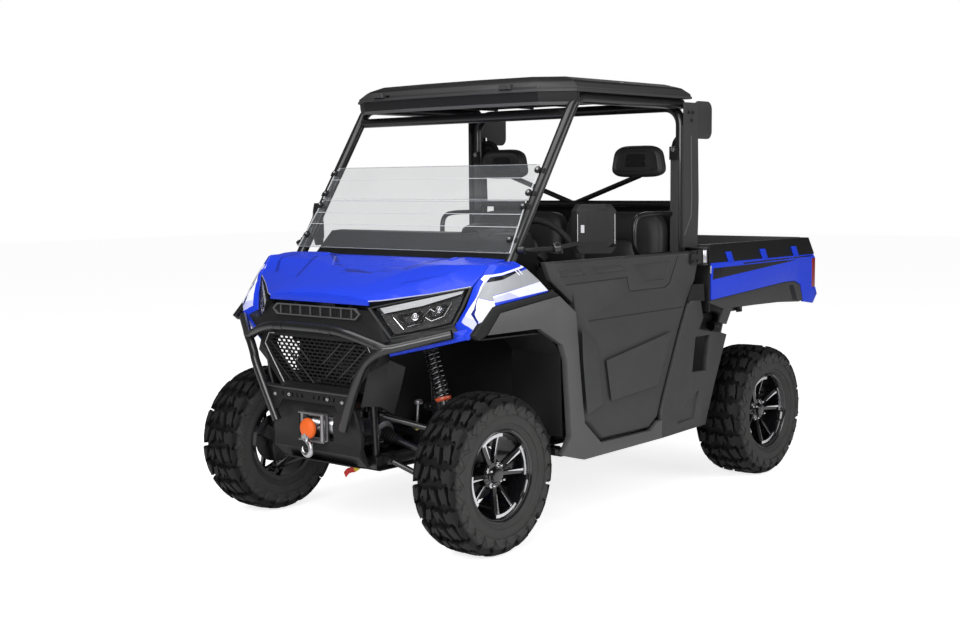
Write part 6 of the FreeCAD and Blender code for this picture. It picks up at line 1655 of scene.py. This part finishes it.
def makeGuard():
    tubes, plate, sleeves, bolts = Form(), Form(), Form(), Form()
    for line in (guard["top"], guard["wing"], guard["leg"]):
        tubes.pipe(curve([at(*spot) for spot in line], 6), guard["tube"], 20)
    y = guard["plate"]
    out, up, size = guard["bar"]
    tubes.pipe([at(x, y, guard["high"] + up) for x in (0, guard["half"] + out)], size, 12)
    tubes.make("guardTubes", "blackSteel", "vehicle", "black_steel", 40, mirror=True)
    for number, outline in enumerate(guardPlates()):
        plate.prism(across(outline, y), (0, guard["plateDepth"], 0), 0.001 if number < 3 else 0.0)
    piece = plate.make("guardPlate", "blackPlastic", "vehicle", "black_steel", 30, mirror=True)
    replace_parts(piece, "bumper_guard")
    start, end = [Vector(spot) for spot in guard["sleeveEnds"]]
    sleeves.lathe(guard["sleeve"], at(*start), (end - start).normalized(), 28)
    sleeves.lathe(guard["cap"], at(*guard["wing"][-1]), guard["capWay"], 24)
    for spot in across(guard["plateBolts"], y - 0.4):
        bolts.bolt(spot, (0, -1, 0), 0.006)
    for spot in across(guard["towerBolts"], guard["tower"]):
        bolts.bolt(spot, (0, -1, 0), 0.005)
    sleeves.make("guardSleeves", "blackSteel", "vehicle", mirror=True)
    bolts.make("guardBolts", "bareSteel", "vehicle", mirror=True)


sway = {  # the links between the anti-roll bar and the lower arms
    "rod": ((358, -1100, 596), (350, -1100, 498)), "size": 0.005, "bolt": (358, -1106, 600),
    "eyeSpot": (358, -1094, 600), "eye": [(-0.012, 0.0), (-0.012, 0.011), (0.012, 0.011), (0.012, 0.0)],
    "ballSpot": (349, -1100, 492),
    "ball": [(-0.011, 0.0), (-0.011, 0.008), (-0.006, 0.012), (0.006, 0.012), (0.011, 0.008), (0.011, 0.0)],
}


def makeLinks():
    links, ends = Form(), Form()
    links.pipe([at(*spot) for spot in sway["rod"]], sway["size"], 10)
    links.bolt(at(*sway["bolt"]), (0, -1, 0), 0.009)
    links.lathe(sway["eye"], at(*sway["eyeSpot"]), (0, 1, 0), 16)
    ends.lathe(sway["ball"], at(*sway["ballSpot"]), (0, 1, 0), 20)
    links.make("swayLinks", "bareSteel", "vehicle", mirror=True)
    ends.make("swayLinkEnds", "zinc", "vehicle", mirror=True)


makeSprings()
makeBoots()
makeWinch()
makeGuard()
makeLinks()
print("suspension and winch made")


# load bed, engine and exhaust

bed = {  # in mm; depths in metres
    "front": 540, "rear": 1560, "floor": 870, "half": 640, "ribs": 9, "ribPitch": 130, "ribHalf": 28,
    "ribEnd": 20, "ribRise": 0.006, "hooks": (640, 1460), "hookHalf": 24, "hookIn": (6, 26),
    "hookZ": (1150, 1120), "hookSize": 0.004, "gateRibs": (965, 1030, 1095), "gateRib": (470, 9),
    "gateY": 1596, "gateRibDepth": 0.007, "handle": [(-78, 1136), (78, 1136), (70, 1158), (-70, 1158)],
    "handleY": 1588, "handleDepth": 0.014, "gateBolts": [(600, 1160), (560, 1160), (600, 900), (560, 900)],
    "boltY": 1604, "lampY": 1586, "backLight": corners(690, 728, 985, 1012), "bands": (980, 1017),
    "band": (686, 732, 2),
}


def makeBed():
    ribs, hooks, gate, steel, white, rim = Form(), Form(), Form(), Form(), Form(), Form()
    front, rear, half = bed["front"] + bed["ribEnd"], bed["rear"] - bed["ribEnd"], bed["ribHalf"]
    for number in range(bed["ribs"]):
        x = (number - bed["ribs"] // 2) * bed["ribPitch"]
        ribs.prism(level(corners(x - half, x + half, front, rear), bed["floor"]), (0, 0, bed["ribRise"]),
                   0.005)
    ribs.make("bedRibs", "blackPlastic", "bed", None, 20)
    (near, out), (high, low), wide = bed["hookIn"], bed["hookZ"], bed["hookHalf"]
    for side in (-1, 1):
        for y in bed["hooks"]:
            loop = [(near, y - wide, high), (out, y - wide, low), (out, y + wide, low),
                    (near, y + wide, high)]
            hooks.pipe(curve([at(side * (bed["half"] - a), b, c) for a, b, c in loop], 5), bed["hookSize"], 8)
    hooks.make("bedHooks", "bareSteel", "bed")
    reach, half = bed["gateRib"]
    for z in bed["gateRibs"]:
        outline = corners(-reach, reach, z - half, z + half)
        gate.prism(across(outline, bed["gateY"]), (0, bed["gateRibDepth"], 0), 0.005)
    gate.prism(across(bed["handle"], bed["handleY"]), (0, bed["handleDepth"], 0), 0.005)
    gate.make("gateRibs", "greyPlastic", "gate", None, 20)
    left, right, half = bed["band"]
    for side in (-1, 1):
        for x, z in bed["gateBolts"]:
            steel.bolt(at(side * x, bed["boltY"], z), (0, 1, 0), 0.007)
        lamp = [(side * x, z) for x, z in bed["backLight"]][::side]
        white.prism(across(lamp, bed["lampY"]), (0, 0.002, 0), 0.001)
        for z in bed["bands"]:
            outline = [(side * x, height) for x, height in corners(left, right, z - half, z + half)][::side]
            rim.prism(across(outline, bed["lampY"]), (0, 0.0025, 0), 0.0005)
    steel.make("gateBolts", "blackSteel", "gate")
    white.make("backLights", "whiteLight", "bed")
    rim.make("tailLampBands", "blackPlastic", "bed")


engine = {  # in mm; cover heights in metres
    "half": 185, "rear": 860, "covers": [(590, 505, 92), (760, 545, 74)], "bolts": 6, "boltIn": 4,
    "boltRise": 0.014, "fins": 9, "finLow": 632, "finPitch": 13, "finThick": 4, "finDepth": 0.012,
    "sideFin": (500, 840), "rearFins": [(-170, -110), (-20, 170)],
    "bands": (-152, 0, 152), "bandSpot": (1235, 700),
    "band": [(-0.008, 0.0752), (-0.008, 0.077), (0.008, 0.077), (0.008, 0.0752)],
}


def coverProfile(wide):  # a round cover with a raised middle, by its radius in mm
    radius = wide / 1000
    return [(-0.002, 0.0), (-0.002, radius), (0.014, radius), (0.02, radius - 0.008),
            (0.022, 0.03), (0.026, 0.026), (0.026, 0.0)]


def makeEngine():
    covers, fins, pipes = Form(), Form(), Form()
    heights = [engine["finLow"] + step * engine["finPitch"] for step in range(engine["fins"])]
    for side in (-1, 1):
        for y, z, wide in engine["covers"]:
            spot = at(side * engine["half"], y, z)
            covers.lathe(coverProfile(wide), spot, (side, 0, 0), 36)
            reach = (wide - engine["boltIn"]) / 1000
            for step in range(engine["bolts"]):
                turn = math.tau * step / engine["bolts"]
                out = Vector((side * engine["boltRise"], math.cos(turn) * reach, math.sin(turn) * reach))
                covers.bolt(spot + out, (side, 0, 0), 0.006)
        for z in heights:
            outline = corners(*engine["sideFin"], z, z + engine["finThick"])
            fins.prism(along(outline, side * engine["half"]), (side * engine["finDepth"], 0, 0), 0.001)
    for z in heights:
        for left, right in engine["rearFins"]:
            outline = corners(left, right, z, z + engine["finThick"])
            fins.prism(across(outline, engine["rear"]), (0, engine["finDepth"], 0), 0.001)
    covers.make("engineCovers", "darkCast", "vehicle")
    fins.make("engineFins", "castMetal", "vehicle")
    for x in engine["bands"]:
        pipes.lathe(engine["band"], at(x, *engine["bandSpot"]), (1, 0, 0), 40)
    pipes.make("mufflerBands", "blackSteel", "vehicle")


makeBed()
makeEngine()
print("bed and engine made")


# half size in metres, and the share of its glow that gloss mirrors
floor = {"half": 30, "colour": (0.8, 0.8, 0.8), "glow": 0.78, "mirrored": 0.2}


def makeFloor():
    half = floor["half"]
    finish = Finish("paleFloor", floor["colour"], 0.9, emission_strength=floor["glow"],
                    specular_ior_level=0.0)
    finish.set("Roughness", finish.noise(2.0) * 0.1 + 0.85)
    seen = finish.node("ShaderNodeLightPath")
    finish.set("Emission Color", finish.mix(seen, (floor["mirrored"],) * 3, (1.0, 1.0, 1.0)))
    mesh = bpy.data.meshes.new("floor")
    mesh.from_pydata([(x, y, 0) for x, y in corners(-half, half, -half, half)], [], [[0, 1, 2, 3]])
    mesh.materials.append(finish.material)
    piece = bpy.data.objects.new("floor", mesh)
    bpy.context.collection.objects.link(piece)


makeFloor()
